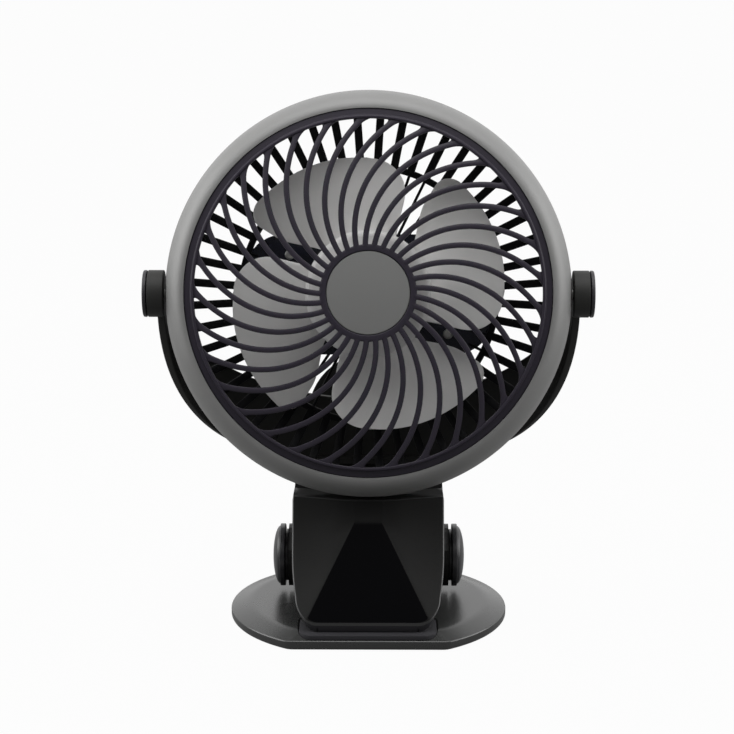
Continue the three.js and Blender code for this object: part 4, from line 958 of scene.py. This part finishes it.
dress(motor_box(), "head", "gloss_black", "motor_cover")
print("motor box:", 2 * PLATE_HALF_WIDTH, "by", 2 * PLATE_HALF_HEIGHT, "mm")

# %% [markdown]
# ## The blades on their hub
#
# Each blade is a sheet: a grid of points in polar coordinates, whose height rises from the trailing
# to the leading edge with a little camber. Solidify gives it its thickness, and Bevel eases its
# edges. The leading edge bulges forward and both outer corners are rounded, each by its own arc.

# %% Impeller
HUB_RADIUS = 34.3
HUB_FACE = -15.0
BLADE_RADIUS = 79.0
BLADE_TRAILING_RADIUS = 73.2
BLADE_LOW = -9.5
BLADE_HIGH = 10.5
CAMBER = 3.0
TRAILING = math.radians(68.9)
LEADING = math.radians(135.5)
BULGE = math.radians(12.8)
BULGE_RADIUS = 60.0
ROOT_SPREAD = math.radians(4.5)
ROOT_END = HUB_RADIUS + 22
TRAILING_CORNER = (50, BLADE_TRAILING_RADIUS, math.radians(21))
LEADING_CORNER = (69.5, BLADE_RADIUS, math.radians(8.0))


def share_between(low, high, value):
    return min(1.0, max(0.0, (value - low) / (high - low)))


def corner_angle(radius, start, end, angle):
    share = share_between(start, end, radius)
    return angle * (1 - math.sqrt(1 - share * share))


def blade_point(share, across, turned_by):
    """The outer edge runs in from the leading corner to the trailing one."""
    root = HUB_RADIUS - 1
    tip = BLADE_TRAILING_RADIUS + (BLADE_RADIUS - BLADE_TRAILING_RADIUS) * across
    radius = root + (tip - root) * (1 - (1 - share) ** 2)
    bulge = math.sin(share_between(HUB_RADIUS, BULGE_RADIUS, radius) * math.pi / 2)
    low = TRAILING - ROOT_SPREAD * (1 - share_between(HUB_RADIUS, ROOT_END, radius)) ** 2
    low += corner_angle(radius, *TRAILING_CORNER) * (1 - across)
    high = LEADING + BULGE * bulge - corner_angle(radius, *LEADING_CORNER) * across
    angle = low + (high - low) * across
    lift = (angle - TRAILING) / (LEADING + BULGE - TRAILING)
    height = BLADE_LOW + (BLADE_HIGH - BLADE_LOW) * lift - CAMBER * math.sin(math.pi * lift)
    return *polar(radius, -(angle + turned_by)), height


def thicken(piece, thickness, offset):
    wall = piece.modifiers.new("wall", "SOLIDIFY")
    wall.thickness = thickness * MM
    wall.offset = offset


def ease_edges(piece, width, limit):
    """A small radius on every edge that is sharper than the limit."""
    ease = piece.modifiers.new("ease", "BEVEL")
    ease.width = width * MM
    ease.segments = 3
    ease.limit_method = "ANGLE"
    ease.angle_limit = math.radians(limit)
    return ease


def blades():
    radial, wide = 34, 30
    bm = bmesh.new()
    for blade in range(4):
        grid = [[bm.verts.new(blade_point(i / radial, j / wide, blade * math.pi / 2))
                 for j in range(wide + 1)] for i in range(radial + 1)]
        for i in range(radial):
            for j in range(wide):
                bm.faces.new((grid[i][j], grid[i][j + 1], grid[i + 1][j + 1], grid[i + 1][j]))
    piece = new_piece("blades", bm, BLADE, HEAD, 50)
    thicken(piece, 1.8, 0)
    ease_edges(piece, 0.6, 60)
    smoothed(kept(piece).data, 40)
    return piece


hub_corners = [(2.8, HUB_FACE), (HUB_RADIUS, HUB_FACE, 3.6), (HUB_RADIUS, 14), (HUB_RADIUS - 2, 14),
               (HUB_RADIUS - 2, HUB_FACE + 2, 2.5), (7, HUB_FACE + 2), (7, -0.4), (2.8, -0.4)]
hub = turned("hub", hub_corners, BLADE, HEAD, 0.3, 128)
dress(joined("blades_and_hub", [blades(), hub]), "rotor", "blade_grey", "impeller")

nut_corners = [(2.8, HUB_FACE - 0.3), (9, HUB_FACE - 0.3), (9, HUB_FACE - 3.3), (7.5, HUB_FACE - 6.3, 1.5),
               (4, HUB_FACE - 7.7, 2), (0, HUB_FACE - 8.1), (0, HUB_FACE - 5.3), (2.8, HUB_FACE - 5.3)]
dress(turned("nut", nut_corners, DISC_GLOSS, HEAD, 0.3, 64), "rotor", "gloss_black", "blade_nut")

# %% [markdown]
# ## The motor
#
# Little of the motor shows, only a glimpse of its steel can through the rear guard. The can and its
# two bearings are still turned finely, because the model can be taken apart.

# %% Motor parts
can_corners = [(7.3, 2), (29, 2, 1.6), (29, 26.7), (27.4, 26.7), (27.4, 3.6, 1.2), (9.1, 3.6), (9.1, 6.5),
               (7.3, 6.5)]
dress(turned("can", can_corners, ROLLED, HEAD, 0.2), "head", "steel", "motor_can")
for name, start in (("bearing_front", 2.0), ("bearing_rear", PLATE_FRONT - 4.5)):
    race = flat_ring(7, 2.8, start, start + 4.2)
    dress(turned(name + "_race", race, PLATED, HEAD, 0.4, 48), "head", "steel", name)

# %% [markdown]
# ## Rounded knobs and discs
#
# The clip's pin ends in two stepped discs: a short neck, a flange and a shallow dome. The bow's ends
# carry flat round caps with a groove behind them. Both are lathe work again, turned about X.

# %% Discs at the hinge and caps at the pivots
DISC_RADIUS = 17.6
DOME_RADIUS = DISC_RADIUS * 0.93
DOME_RISE = 4.1
DISC_INSIDE = 45.3


def side_place(centre, side):
    """A frame whose Z axis points out of the fan's left or right side."""
    return Matrix.Translation(centre) @ Matrix.Rotation(side * math.pi / 2, 4, "Y")


def hinge_disc(side, word):
    inner = DISC_INSIDE
    flange = inner + 1.6
    rim = flange + 3
    dome = []
    for i in range(13):
        across, up = polar(1, i / 12 * math.pi / 2)
        dome.append((DOME_RADIUS * (across if i < 12 else 0), rim + DOME_RISE * up))
    neck = DISC_RADIUS - 3
    base = eased([(3.3, rim + 0.3), (3.3, inner), (neck, inner), (neck, flange), (DISC_RADIUS, flange, 0.5),
                  (DISC_RADIUS, rim, 0.5)], 0.3)
    bm = bmesh.new()
    turn(bm, [*base, *dome, (0, rim + 0.3)])
    return new_piece("hinge_disc_" + word, bm, DISC_GLOSS, side_place(PIN, side))


ARM_INSIDE = BAND_RADIUS + 0.6
BOSS_RADIUS = 12.8
BOSS_LENGTH = 8.8


def pivot_knob(side, word):
    inner = ARM_INSIDE + BOSS_LENGTH + 0.5
    outer = inner + 2.0
    corners = [(0, inner - 3), (6.6, inner - 3), (6.6, inner), (BOSS_RADIUS, inner, 0.5),
               (BOSS_RADIUS, outer, 0.9), (BOSS_RADIUS - 4, outer + 0.1, 1), (0, outer + 0.3)]
    return turned("pivot_knob_" + word, corners, KNOB_DULL, side_place(pivot, side), 0.3)


for side, word in ((-1, "left"), (1, "right")):
    dress(hinge_disc(side, word), "base", "gloss_black", "hinge_cap_" + word)
    dress(pivot_knob(side, word), "clip_lever", "dark_grey", "pivot_cap_" + word)

# %% [markdown]
# ## The bow that holds the head
#
# The bow is a strip of constant wall that sweeps half round the head, from one pivot down behind
# the fan to the other. Its upper edge lies in a leaning plane and its lower edge starts to rise
# later, so it is tall at the back and narrow at the pivots. A curve with a bevel keeps one height
# all along, so here an eased rectangle is placed at every step, as high as the bow is there.

# %% Bow
BOW_WALL = 4.1
BOW_DEPTH = 50.0
BOW_UPPER = (188.0, 113.0)
BOW_LOWER = (171.0, 76.3)


def bow():
    steps = 96
    bm = bmesh.new()
    rings = []
    for i in range(steps + 1):
        angle = (i / steps - 0.5) * math.pi
        share = math.cos(angle)
        low = BOW_LOWER[1] + (BOW_LOWER[0] - BOW_LOWER[1]) * (1 - share) ** 1.45
        high = BOW_UPPER[1] + (BOW_UPPER[0] - BOW_UPPER[1]) * (1 - share)
        section = eased([(0.01, low), (0.01, high), (BOW_WALL, high), (BOW_WALL, low)], 0.9, 3)
        rings.append([
            ((ARM_INSIDE + w) * math.sin(angle), (BOW_DEPTH - BOW_WALL + w) * share, z) for w, z in section
        ])
    stacked(bm, rings)
    strip = new_piece("bow", bm, BOW_DULL, STRAIGHT, 50)
    bosses = []
    for side in (-1, 1):
        end = ARM_INSIDE + BOSS_LENGTH
        corners = [(2.8, ARM_INSIDE), (BOSS_RADIUS, ARM_INSIDE, 0.6), (BOSS_RADIUS, end, 0.6), (7, end),
                   (7, ARM_INSIDE + 4), (2.8, ARM_INSIDE + 4)]
        bosses.append(turned("boss", corners, BOW_DULL, side_place(pivot, side), 0.3))
    foot = bmesh.new()
    box(foot, (-30, 38.5, BOW_LOWER[1]), (30, BOW_DEPTH - 3, BOW_LOWER[1] + 3.4))
    return joined("bow", [strip, *bosses, new_piece("bow_foot", foot, BOW_DULL)])


dress(bow(), "clip_lever", "dark_grey", "yoke")
print("bow:", 2 * (ARM_INSIDE + BOW_WALL), "mm across")

# %% [markdown]
# ## Softened copies
#
# Some solids already have the right shape and only need what a mould gives them: edges with a small
# radius. For these the solid is copied, its loose triangles are merged back into flat faces, and a
# Bevel modifier rounds every edge that is sharper than a limit.


# %% A softened copy of a solid
def level_faces(piece, weight):
    """Weighted normals, which keep large faces level beside their rounded edges."""
    flat = piece.modifiers.new("level faces", "WEIGHTED_NORMAL")
    flat.weight = weight
    flat.keep_sharp = True


def softened(name, node, material, width, limit=34):
    bm = bmesh.new()
    bm.from_mesh(frame["nodes"][node].data)
    bmesh.ops.remove_doubles(bm, verts=bm.verts, dist=0.00001)
    bmesh.ops.dissolve_limit(bm, angle_limit=math.radians(0.6), verts=bm.verts, edges=bm.edges)
    mesh = bpy.data.meshes.new(name)
    bm.to_mesh(mesh)
    bm.free()
    mesh.materials.append(material)
    smoothed(mesh, 34)
    piece = linked(name, mesh)
    ease_edges(piece, width, limit).miter_outer = "MITER_ARC"
    level_faces(piece, 100)
    return kept(piece)


# %% [markdown]
# ## The clip's front
#
# The front of the clip is faceted: a narrow strip at the top opens into a glossy black field that
# widens to the foot, and two dull planes fall back on both sides of it. The field is the same
# moulding with a glossier finish, and its colour is darker too, a painted reflection of the head's
# dark underside. Both fade in below the strip.

# %% Clip lever
FACE_FRONT = 54.0
FACE_LOW = 14.5
FACE_BACK = 29.0
FACE_HIGH = 75.8
FIELD_TOP = 64.5


def polished_field():
    """Dull above a soft edge; below it glossier, and darker as a painted reflection of the head."""
    material, graph, place = shader("polished_field")
    fine = noise(graph, place, 1100.0, 2.0, 0.6)
    height = graph.add("ShaderNodeSeparateXYZ", None, {"Vector": place})["Z"]
    polish_and_painted_reflection = smooth_step(graph, height, (FIELD_TOP + 1.2) * MM, (FIELD_TOP - 1.8) * MM)
    surface(graph, {
        # The darker colour below the edge is painted: it stands for the head's dark reflection in the field.
        "Base Color": two_colours(graph, polish_and_painted_reflection, (0.008, 0.008, 0.0078), (0.0012, 0.0012, 0.0016)),
        "Roughness": 0.48 - polish_and_painted_reflection * 0.36,
        "Specular IOR Level": 0.12,
        "Normal": bump(graph, fine, 0.00001),
    })
    return material


# %% [markdown]
# The faceted front itself is drawn anew over the solid's flat one, a quarter of a millimetre proud,
# as a grid of rows and columns. Its columns follow the edges of the field, so those stay crisp, and
# the planes beside it fall back by the softer of two slopes. Its border turns over a small arc into
# the sides, and at the foot into a lip that hides the rubber of the jaw. The arc gets a lighter,
# shinier plastic than the clip, a painted highlight for the bright line along the clip's edge.

# %% The skin of the clip's front
FACET_TOP_HALF = 7.6
FACET_SPREAD = (32.5 - FACET_TOP_HALF) / (FIELD_TOP - 17)
SKIN_LOW = 13.4
SKIN_HIGH = FACE_HIGH + 0.1
SKIN_CORNER = 12.0
SKIN_EDGE = 0.8
LIP_DROP = SKIN_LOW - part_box("seat_pad")[1].z / MM - 0.4
PROUD = 0.25
FIELD_FALL = 0.38
STRIP_FALL = 0.26
VALLEY = 4.0
LOW_HALF = 39.6
FULL_HALF = 41.5
FULL_HEIGHT = 46.0
SIDE_HALF = 41.3


def field_half(z):
    return FACET_TOP_HALF + max(0.0, FIELD_TOP - z) * FACET_SPREAD


def face_y(x, z):
    """The front face: leaning, and falling back beside the strip and the field."""
    lean = -FACE_FRONT + (z - FACE_LOW) * (FACE_FRONT - FACE_BACK) / (FACE_HIGH - FACE_LOW)
    past_field = max(0.0, (abs(x) - field_half(z)) * FIELD_FALL)
    past_strip = max(0.0, (abs(x) - FACET_TOP_HALF) * STRIP_FALL)
    near = max(0.0, VALLEY - abs(past_field - past_strip)) ** 2 / (4 * VALLEY)
    fall = min(past_field, past_strip)
    return lean + fall - min(near, fall * 0.3) - PROUD


def front_half(z, inset=0.0):
    """Half the skin's width: a round corner at the foot, then a slight swell."""
    corner, low, high = SKIN_CORNER - inset, LOW_HALF - inset, FULL_HALF - inset
    turn_z = SKIN_LOW + inset + corner
    if z < turn_z:
        return low - corner + math.sqrt(max(0.0, corner ** 2 - (turn_z - z) ** 2))
    share = share_between(turn_z, FULL_HEIGHT, z)
    return low + (high - low) * (1 - (1 - share) ** 2)


def solid_half(z):
    """Half the width of the lever behind the skin."""
    share = share_between(25, FULL_HEIGHT, z)
    return min(37.7 + 4.6 * (1 - (1 - share) ** 2), SIDE_HALF)


def skin_rows():
    start, arc = SKIN_LOW + SKIN_EDGE, SKIN_CORNER - SKIN_EDGE
    low = [start + arc * (1 - math.cos(i / 14 * math.pi / 2)) for i in range(14)]
    high = SKIN_HIGH - SKIN_EDGE
    return low + [start + arc + (high - start - arc) * i / 26 for i in range(27)]


def skin_columns(z):
    half = front_half(z, SKIN_EDGE)
    edge = min(field_half(z), half - 1.2)
    right = [(edge - 0.3) * i / 5 for i in range(6)]
    right += [edge + 0.3 + (half - edge - 0.3) * i / 9 for i in range(10)]
    return [-x for x in reversed(right[1:])] + right


def front_grid(bm):
    """The front as a grid of faces. Gives its border, turning one way, and the field's faces."""
    grid = [[bm.verts.new((x, face_y(x, z), z)) for x in skin_columns(z)] for z in skin_rows()]
    wide = len(grid[0]) - 1
    field = []
    for low, high in zip(grid, grid[1:]):
        for j in range(wide):
            face = bm.faces.new((low[j], low[j + 1], high[j + 1], high[j]))
            if 9 < j < wide - 10:
                field.append(face)
    border = grid[0] + [row[-1] for row in grid[1:]] + list(reversed(grid[-1][:-1]))
    border += [row[0] for row in reversed(grid[1:-1])]
    return border, field


def border_places(border):
    """For each point of the border: itself, the corner it turns over, and the wall's start and end."""
    places = []
    for i, vert in enumerate(border):
        along = border[(i + 1) % len(border)].co - border[i - 1].co
        out = Vector((along.z, 0, -along.x)).normalized()
        corner = vert.co + out * SKIN_EDGE
        corner.y = face_y(corner.x, corner.z)
        under = max(0.0, -out.z) ** 1.6
        taper = (front_half(max(corner.z, SKIN_LOW + 0.01)) - solid_half(corner.z) + 0.3) * (1 - under)
        back = Vector((-taper * out.x, 14, 0)) * (1 - under)
        wall = back + Vector((0, PROUD, -LIP_DROP)) * under
        places.append((vert.co, corner, corner + wall.normalized() * SKIN_EDGE, corner + wall))
    return places


def front_skin():
    bm = bmesh.new()
    border, field = front_grid(bm)
    places = border_places(border)
    loops = [border]
    for t in (0.33, 0.67, 1.0):
        loops.append([bm.verts.new(start * (1 - t) ** 2 + corner * 2 * t * (1 - t) + wall * t ** 2)
                      for start, corner, wall, _ in places])
    loops.append([bm.verts.new(last) for _, _, _, last in places])
    count = len(border)
    rim, lip = [], []
    for inner, outer in zip(loops, loops[1:]):
        for i in range(count):
            k = (i + 1) % count
            face = bm.faces.new((inner[i], outer[i], outer[k], inner[k]))
            (lip if outer is loops[-1] and outer[i].co.z < SKIN_LOW - 1 else rim).append(face)
    bmesh.ops.recalc_face_normals(bm, faces=bm.faces)
    bm.faces.ensure_lookup_table()
    if bm.faces[0].normal.y > 0:
        bmesh.ops.reverse_faces(bm, faces=bm.faces)
    # Slot 2, the border arc, carries the lighter plastic that paints the highlight along the edge.
    for slot, faces in ((1, field), (2, rim), (3, lip)):
        for face in faces:
            face.material_index = slot
    piece = new_piece("front_skin", bm, CLIP_DULL, STRAIGHT, 40, outward=False)
    for material in (polished_field(), EDGE_PAINTED_HIGHLIGHT, RUBBER):
        piece.data.materials.append(material)
    thicken(piece, 0.6, -1)
    level_faces(piece, 80)
    return kept(piece)


def clip_front():
    piece = softened("clip_front", "front_lever", CLIP_DULL, 0.5, limit=12)
    for vert in piece.data.vertices:
        if SIDE_HALF < abs(vert.co.x) / MM < 42.5:
            vert.co.x = math.copysign(SIDE_HALF * MM, vert.co.x)
    return joined("clip_front", [piece, front_skin()])


dress(clip_front(), "clip_lever", "dark_grey", "front_lever")
dress(softened("jaw_rubber", "jaw_pad", RUBBER, 0.5), "clip_lever", "rubber", "jaw_pad")
dress(softened("handle", "rear_handle", CLIP_DULL, 0.8), "base", "dark_grey", "rear_handle")

# %% [markdown]
# ## The base
#
# The base is a broad oval with a flat front edge: an upright rim, a slope and a flat top with a
# sunken tray for the rubber pad. It is a stack of outlines, each a little further in and up, with
# the shoulders rounded by arcs of outlines.

# %% Base
BASE_HALF_WIDTH = 77.0
BASE_HALF_DEPTH = 73.0
BASE_FRONT = 60.5
BASE_TOP = 9.0
BASE_WALL_TOP = 5.7
BASE_SLOPE = 11.0
BASE_UNDER = 0.8
BASE_SOFT = 1.2
SEAT_HALF = (37.4, 15.5)
SEAT_CORNER = 8.0
SEAT_MIDDLE = -44.1


def base_outline(inset, z, steps=240):
    ring = []
    for i in range(steps):
        x, y = polar(1, i / steps * 2 * math.pi)
        y *= BASE_HALF_DEPTH - inset
        edge = -(BASE_FRONT - inset * 0.85)
        blend = max(0.0, BASE_SOFT - abs(y - edge)) ** 2 / (4 * BASE_SOFT)
        ring.append((x * (BASE_HALF_WIDTH - inset), max(y, edge) + blend, z))
    return ring


def base_profile():
    corners = [(30, BASE_UNDER), (1, BASE_UNDER), (0, BASE_UNDER + 1, 0.8), (0, BASE_WALL_TOP, 0.9),
               (BASE_SLOPE, BASE_TOP, 2.6), (30, BASE_TOP)]
    rounded = eased([(x + 1, z, *own) for x, z, *own in corners], 0.4, 6)
    return [(x - 1, z) for x, z in rounded if x < 30]


def seat_outline(wider, z):
    half_width, half_depth = (half + wider for half in SEAT_HALF)
    flat = rounded_rectangle(half_width, half_depth, SEAT_CORNER + wider, 10, SEAT_MIDDLE)
    return [(*point, z) for point in flat]


def base():
    bm = bmesh.new()
    stacked(bm, [base_outline(inset, z) for inset, z in base_profile()])
    piece = new_piece("base", bm, BASE_SATIN, STRAIGHT, 30)
    tray = bmesh.new()
    levels = [(0.3, 6.0), (0.3, BASE_TOP - 0.5), (0.9, BASE_TOP + 0.1), (0.9, BASE_TOP + 2)]
    stacked(tray, [seat_outline(wider, z) for wider, z in levels])
    cut(piece, tray, smooth=30)
    cavity = bmesh.new()
    stacked(cavity, [base_outline(4, 0), base_outline(4, 4.2)])
    return cut(piece, cavity, smooth=30)


dress(base(), "base", "satin_grey", "base_plate")
print("base:", 2 * BASE_HALF_WIDTH, "mm wide,", BASE_TOP, "mm high")

# %% [markdown]
# The pad in the tray is the clip's lower jaw. It and the feet are soft rubber with a small round on
# top. The pad is another stack of the tray's outline, and the feet are turned, each as wide and as
# high as its solid.


# %% Seat pad, grip pad and feet
def seat_rubber():
    low, top = (corner.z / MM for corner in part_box("seat_pad"))
    bm = bmesh.new()
    layers = [(0, low), (0, top - 0.6), (-0.18, top - 0.18), (-0.6, top)]
    stacked(bm, [seat_outline(wider, z) for wider, z in layers])
    return new_piece("seat_rubber", bm, RUBBER)


dress(seat_rubber(), "base", "rubber", "seat_pad")
dress(softened("under_cover", "base_bottom_cover", CLIP_DULL, 0.3), "base", "dark_grey", "base_bottom_cover")


def foot(name, node):
    low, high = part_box(node)
    middle = (low + high) / 2
    radius = (high.x - low.x) / 2 / MM
    thick = (high.z - low.z) / MM
    corners = [(0, 0), (radius, 0, 0.4), (radius, thick, 0.3), (0, thick)]
    place = Matrix.Translation((middle.x, middle.y, low.z))
    return turned(name, corners, RUBBER, place, 0.3, 64)


for node in ("grip_pad", "foot_1", "foot_2", "foot_3", "foot_4"):
    dress(foot(node + "_rubber", node), "base", "rubber", node)

# %% [markdown]
# ## Screws
#
# The eight screws of the guard and the box are one pattern: a domed head with a cross recess on a
# plain shank. One is modelled, and a tree sets a copy at every vertex of a small mesh that holds
# the places of the set, each turned a little further, as screws end up in real life.


# %% One screw, and a tree that sets it at every place
def model_screw(radius, length):
    head = radius * 1.9
    thick = radius
    bm = bmesh.new()
    corners = [(0, -length), (radius, -length, 0.4), (radius, 0, 0.05), (head, 0, 0.2),
               (head * 0.97, thick * 0.5, 0.5), (head * 0.55, thick * 0.95, 0.6), (0, thick)]
    turn(bm, eased(corners, 0.2), 40)
    screw = new_piece("screw", bm, PLATED)
    cross = bmesh.new()
    blade = Matrix.Diagonal((head * 1.05, head * 0.24, thick * 1.2, 1))
    blade = Matrix.Translation((0, 0, thick * 0.85)) @ blade
    for turned_by in (0, math.pi / 2):
        bmesh.ops.create_cube(cross, size=1, matrix=Matrix.Rotation(turned_by, 4, "Z") @ blade)
    return cut(screw, cross, crossing=True)


def screw_tree(screw):
    graph, given = new_tree("screws_at_places", {"Turn": 0.0}, takes=["Places"])
    model = graph.add("GeometryNodeObjectInfo", None, {"Object": screw})["Geometry"]
    index = graph.add("GeometryNodeInputIndex")["Index"]
    turned_by = graph.vector(Z=given["Turn"] * index)
    sockets = {"Points": given["Places"], "Instance": model, "Rotation": turned_by}
    end_tree(graph, graph.add("GeometryNodeInstanceOnPoints", None, sockets)["Instances"], PLATED)
    return graph


def screws(name, length, places, place, node):
    """Four screws whose heads sit on the given points and look along +Z of a frame."""
    model = model_screw(SCREW_RADIUS, length)
    mesh = bpy.data.meshes.new(name)
    mesh.from_pydata([[value * MM for value in point] for point in places], [], [])
    holder = run_tree(linked(name, mesh), screw_tree(model), {"Turn": 0.9})
    holder.data.transform(place)
    smoothed(holder.data)
    bpy.data.objects.remove(model)
    dress(holder, "head", "steel", *[node + str(i) for i in (1, 2, 3, 4)])


SCREW_RADIUS = 1.5
FACING_FRONT = Matrix.Rotation(math.pi, 4, "X")
post_places = [(*polar(POST_RADIUS, angle), BAND_REAR + 1.5) for angle in POST_ANGLES]
box_places = [(*point, 0.3 - PLATE_FRONT) for point in BOX_SCREWS]
screws("guard_screws", 15.5, post_places, HEAD, "grille_screw_")
screws("box_screws", 12.2, box_places, HEAD @ FACING_FRONT, "cover_screw_")

# %% [markdown]
# ## Speed knob and inlet
#
# On the rear of the box sits a fluted knob with a pointer groove, and below it the round inlet for
# the lead. Both are turned, and the flutes are cut by a ring of small cylinders.

# %% Knob and inlet
KNOB_RADIUS = 11.0
KNOB_LENGTH = 9.0
KNOB_FLUTES = 24


def knob():
    front = BOX_REAR + 0.6
    corners = [(0, front + 1), (3.3, front + 1), (3.3, front), (KNOB_RADIUS + 1, front, 0.3),
               (KNOB_RADIUS + 0.1, front + 2, 0.8), (KNOB_RADIUS, front + KNOB_LENGTH, 1.2),
               (0, front + KNOB_LENGTH)]
    middle = Matrix.Translation((0, -KNOB_RISE * MM, 0))
    body = turned("knob", corners, KNOB_DULL, HEAD @ middle, 0.2)
    end = front + KNOB_LENGTH
    flutes = bmesh.new()
    for i in range(KNOB_FLUTES):
        x, y = polar(KNOB_RADIUS + 0.7, i / KNOB_FLUTES * 2 * math.pi)
        cylinder(flutes, 1.1, (x, y, front + 2.4), (x, y, end + 2), 16)
    box(flutes, (-0.7, -KNOB_RADIUS - 1, end - 0.7), (0.7, -3, end + 2))
    return cut(body, flutes, HEAD @ middle, crossing=True)


dress(knob(), "knob", "dark_grey", "speed_knob")
seat, face = BOX_REAR + 0.3, BOX_REAR + 1.2
inlet_corners = [(0, BOX_FRONT + 9.9), (4, BOX_FRONT + 9.9), (4, seat), (5.4, seat, 0.2), (5.4, face, 0.4),
                 (2.6, face, 0.3), (2.6, BOX_REAR - 5), (0, BOX_REAR - 5)]
below = Matrix.Translation((0, INLET_DROP * MM, 0))
dress(turned("inlet", inlet_corners, BOX_GLOSS, HEAD @ below, 0.2, 48), "head", "gloss_black", "power_inlet")

# %% [markdown]
# ## Pieces that keep their solid
#
# What lies inside keeps the solid from the frame and only gets a finish.

# %% Finishes for the remaining solids
REMAINING = {
    PLATED: ["hinge_pin", "torsion_spring", "shaft", "pivot_screw_left", "pivot_screw_right",
             "handle_screw_1", "handle_screw_2", "yoke_screw_1", "yoke_screw_2"],
    BALLAST: ["ballast_plate"],
    LAMINATED: ["stator_core", "rotor_core"],
    COPPER: ["winding_front", "winding_rear"],
    BOARD: ["control_board"],
    BOX_GLOSS: ["speed_switch"],
    BUSH_NYLON: ["spring_bush"],
}
for material, names in REMAINING.items():
    for name in names:
        data = frame["nodes"][name].data
        data.materials.clear()
        data.materials.append(material)

# %% [markdown]
# ## Floor and light
#
# The portrait is shot on white. A plain white floor would throw light up under the fan, so this one
# is a grey sheet that only the camera sees as white, with a trace of the fan's shadow left in it.
# The world is white for the camera too. As light it is bright behind the fan and dims towards the
# viewer, so the black parts stay black, and it brightens again overhead. Three large soft boxes,
# one on each side and one above, draw the broad sheen on the band.


# %% Floor
WHITE = (1, 1, 1, 1)
FLOOR_GREY = 0.16
FLOOR_WHITE = 0.97


def floor():
    material = bpy.data.materials.new("pale_floor")
    graph = empty_graph(material)
    path = graph.add("ShaderNodeLightPath")
    seen = path["Is Camera Ray"] + path["Is Transmission Ray"] + path["Is Glossy Ray"] * FLOOR_GREY
    share = graph.maths("MINIMUM", seen, 1.0) * FLOOR_WHITE
    plain = graph.add("ShaderNodeBsdfDiffuse", None, {"Color": (*[FLOOR_GREY] * 3, 1)})["BSDF"]
    white = graph.add("ShaderNodeEmission", None, {"Color": WHITE})["Emission"]
    mixed = graph.add("ShaderNodeMixShader", None, {0: share, 1: plain, 2: white})["Shader"]
    graph.add("ShaderNodeOutputMaterial", None, {"Surface": mixed})
    bm = bmesh.new()
    bmesh.ops.create_grid(bm, x_segments=1, y_segments=1, size=6000)
    new_piece("floor", bm, material)


def world():
    studio = bpy.data.worlds.new("studio")
    bpy.context.scene.world = studio
    graph = empty_graph(studio)
    path = graph.add("ShaderNodeLightPath")
    direction = graph.add("ShaderNodeTexCoord")["Generated"]
    towards = graph.add("ShaderNodeSeparateXYZ", None, {"Vector": direction})
    rear = smooth_step(graph, towards["Y"], -0.5, 0.3)
    high = 0.16 + smooth_step(graph, towards["Z"], 0.35, 0.95) * 0.84
    strength = rear * 1.15 + (1 - rear) * high
    seen = graph.maths("MINIMUM", path["Is Camera Ray"] + path["Is Transmission Ray"], 1.0)
    plain = graph.add("ShaderNodeBackground", None, {"Color": WHITE, "Strength": strength})["Background"]
    white = graph.add("ShaderNodeBackground", None, {"Color": WHITE})["Background"]
    mixed = graph.add("ShaderNodeMixShader", None, {0: seen, 1: plain, 2: white})["Shader"]
    graph.add("ShaderNodeOutputWorld", None, {"Surface": mixed})


AIM = Vector((0, 0, 0.16))


def soft_box(name, place, size, power):
    data = bpy.data.lights.new(name, "AREA")
    data.shape = "RECTANGLE"
    data.size, data.size_y = size
    data.energy = power
    lamp = linked(name, data)
    lamp.location = place
    lamp.rotation_euler = (AIM - Vector(place)).to_track_quat("-Z", "Y").to_euler()


floor()
world()
soft_box("box_left", (-1.15, -0.05, 0.60), (1.1, 0.9), 12)
soft_box("box_right", (1.15, -0.05, 0.55), (1.1, 0.8), 10)
soft_box("box_top", (0.0, -0.25, 1.25), (1.4, 1.0), 12.5)
bpy.context.scene.view_settings.view_transform = "Standard"
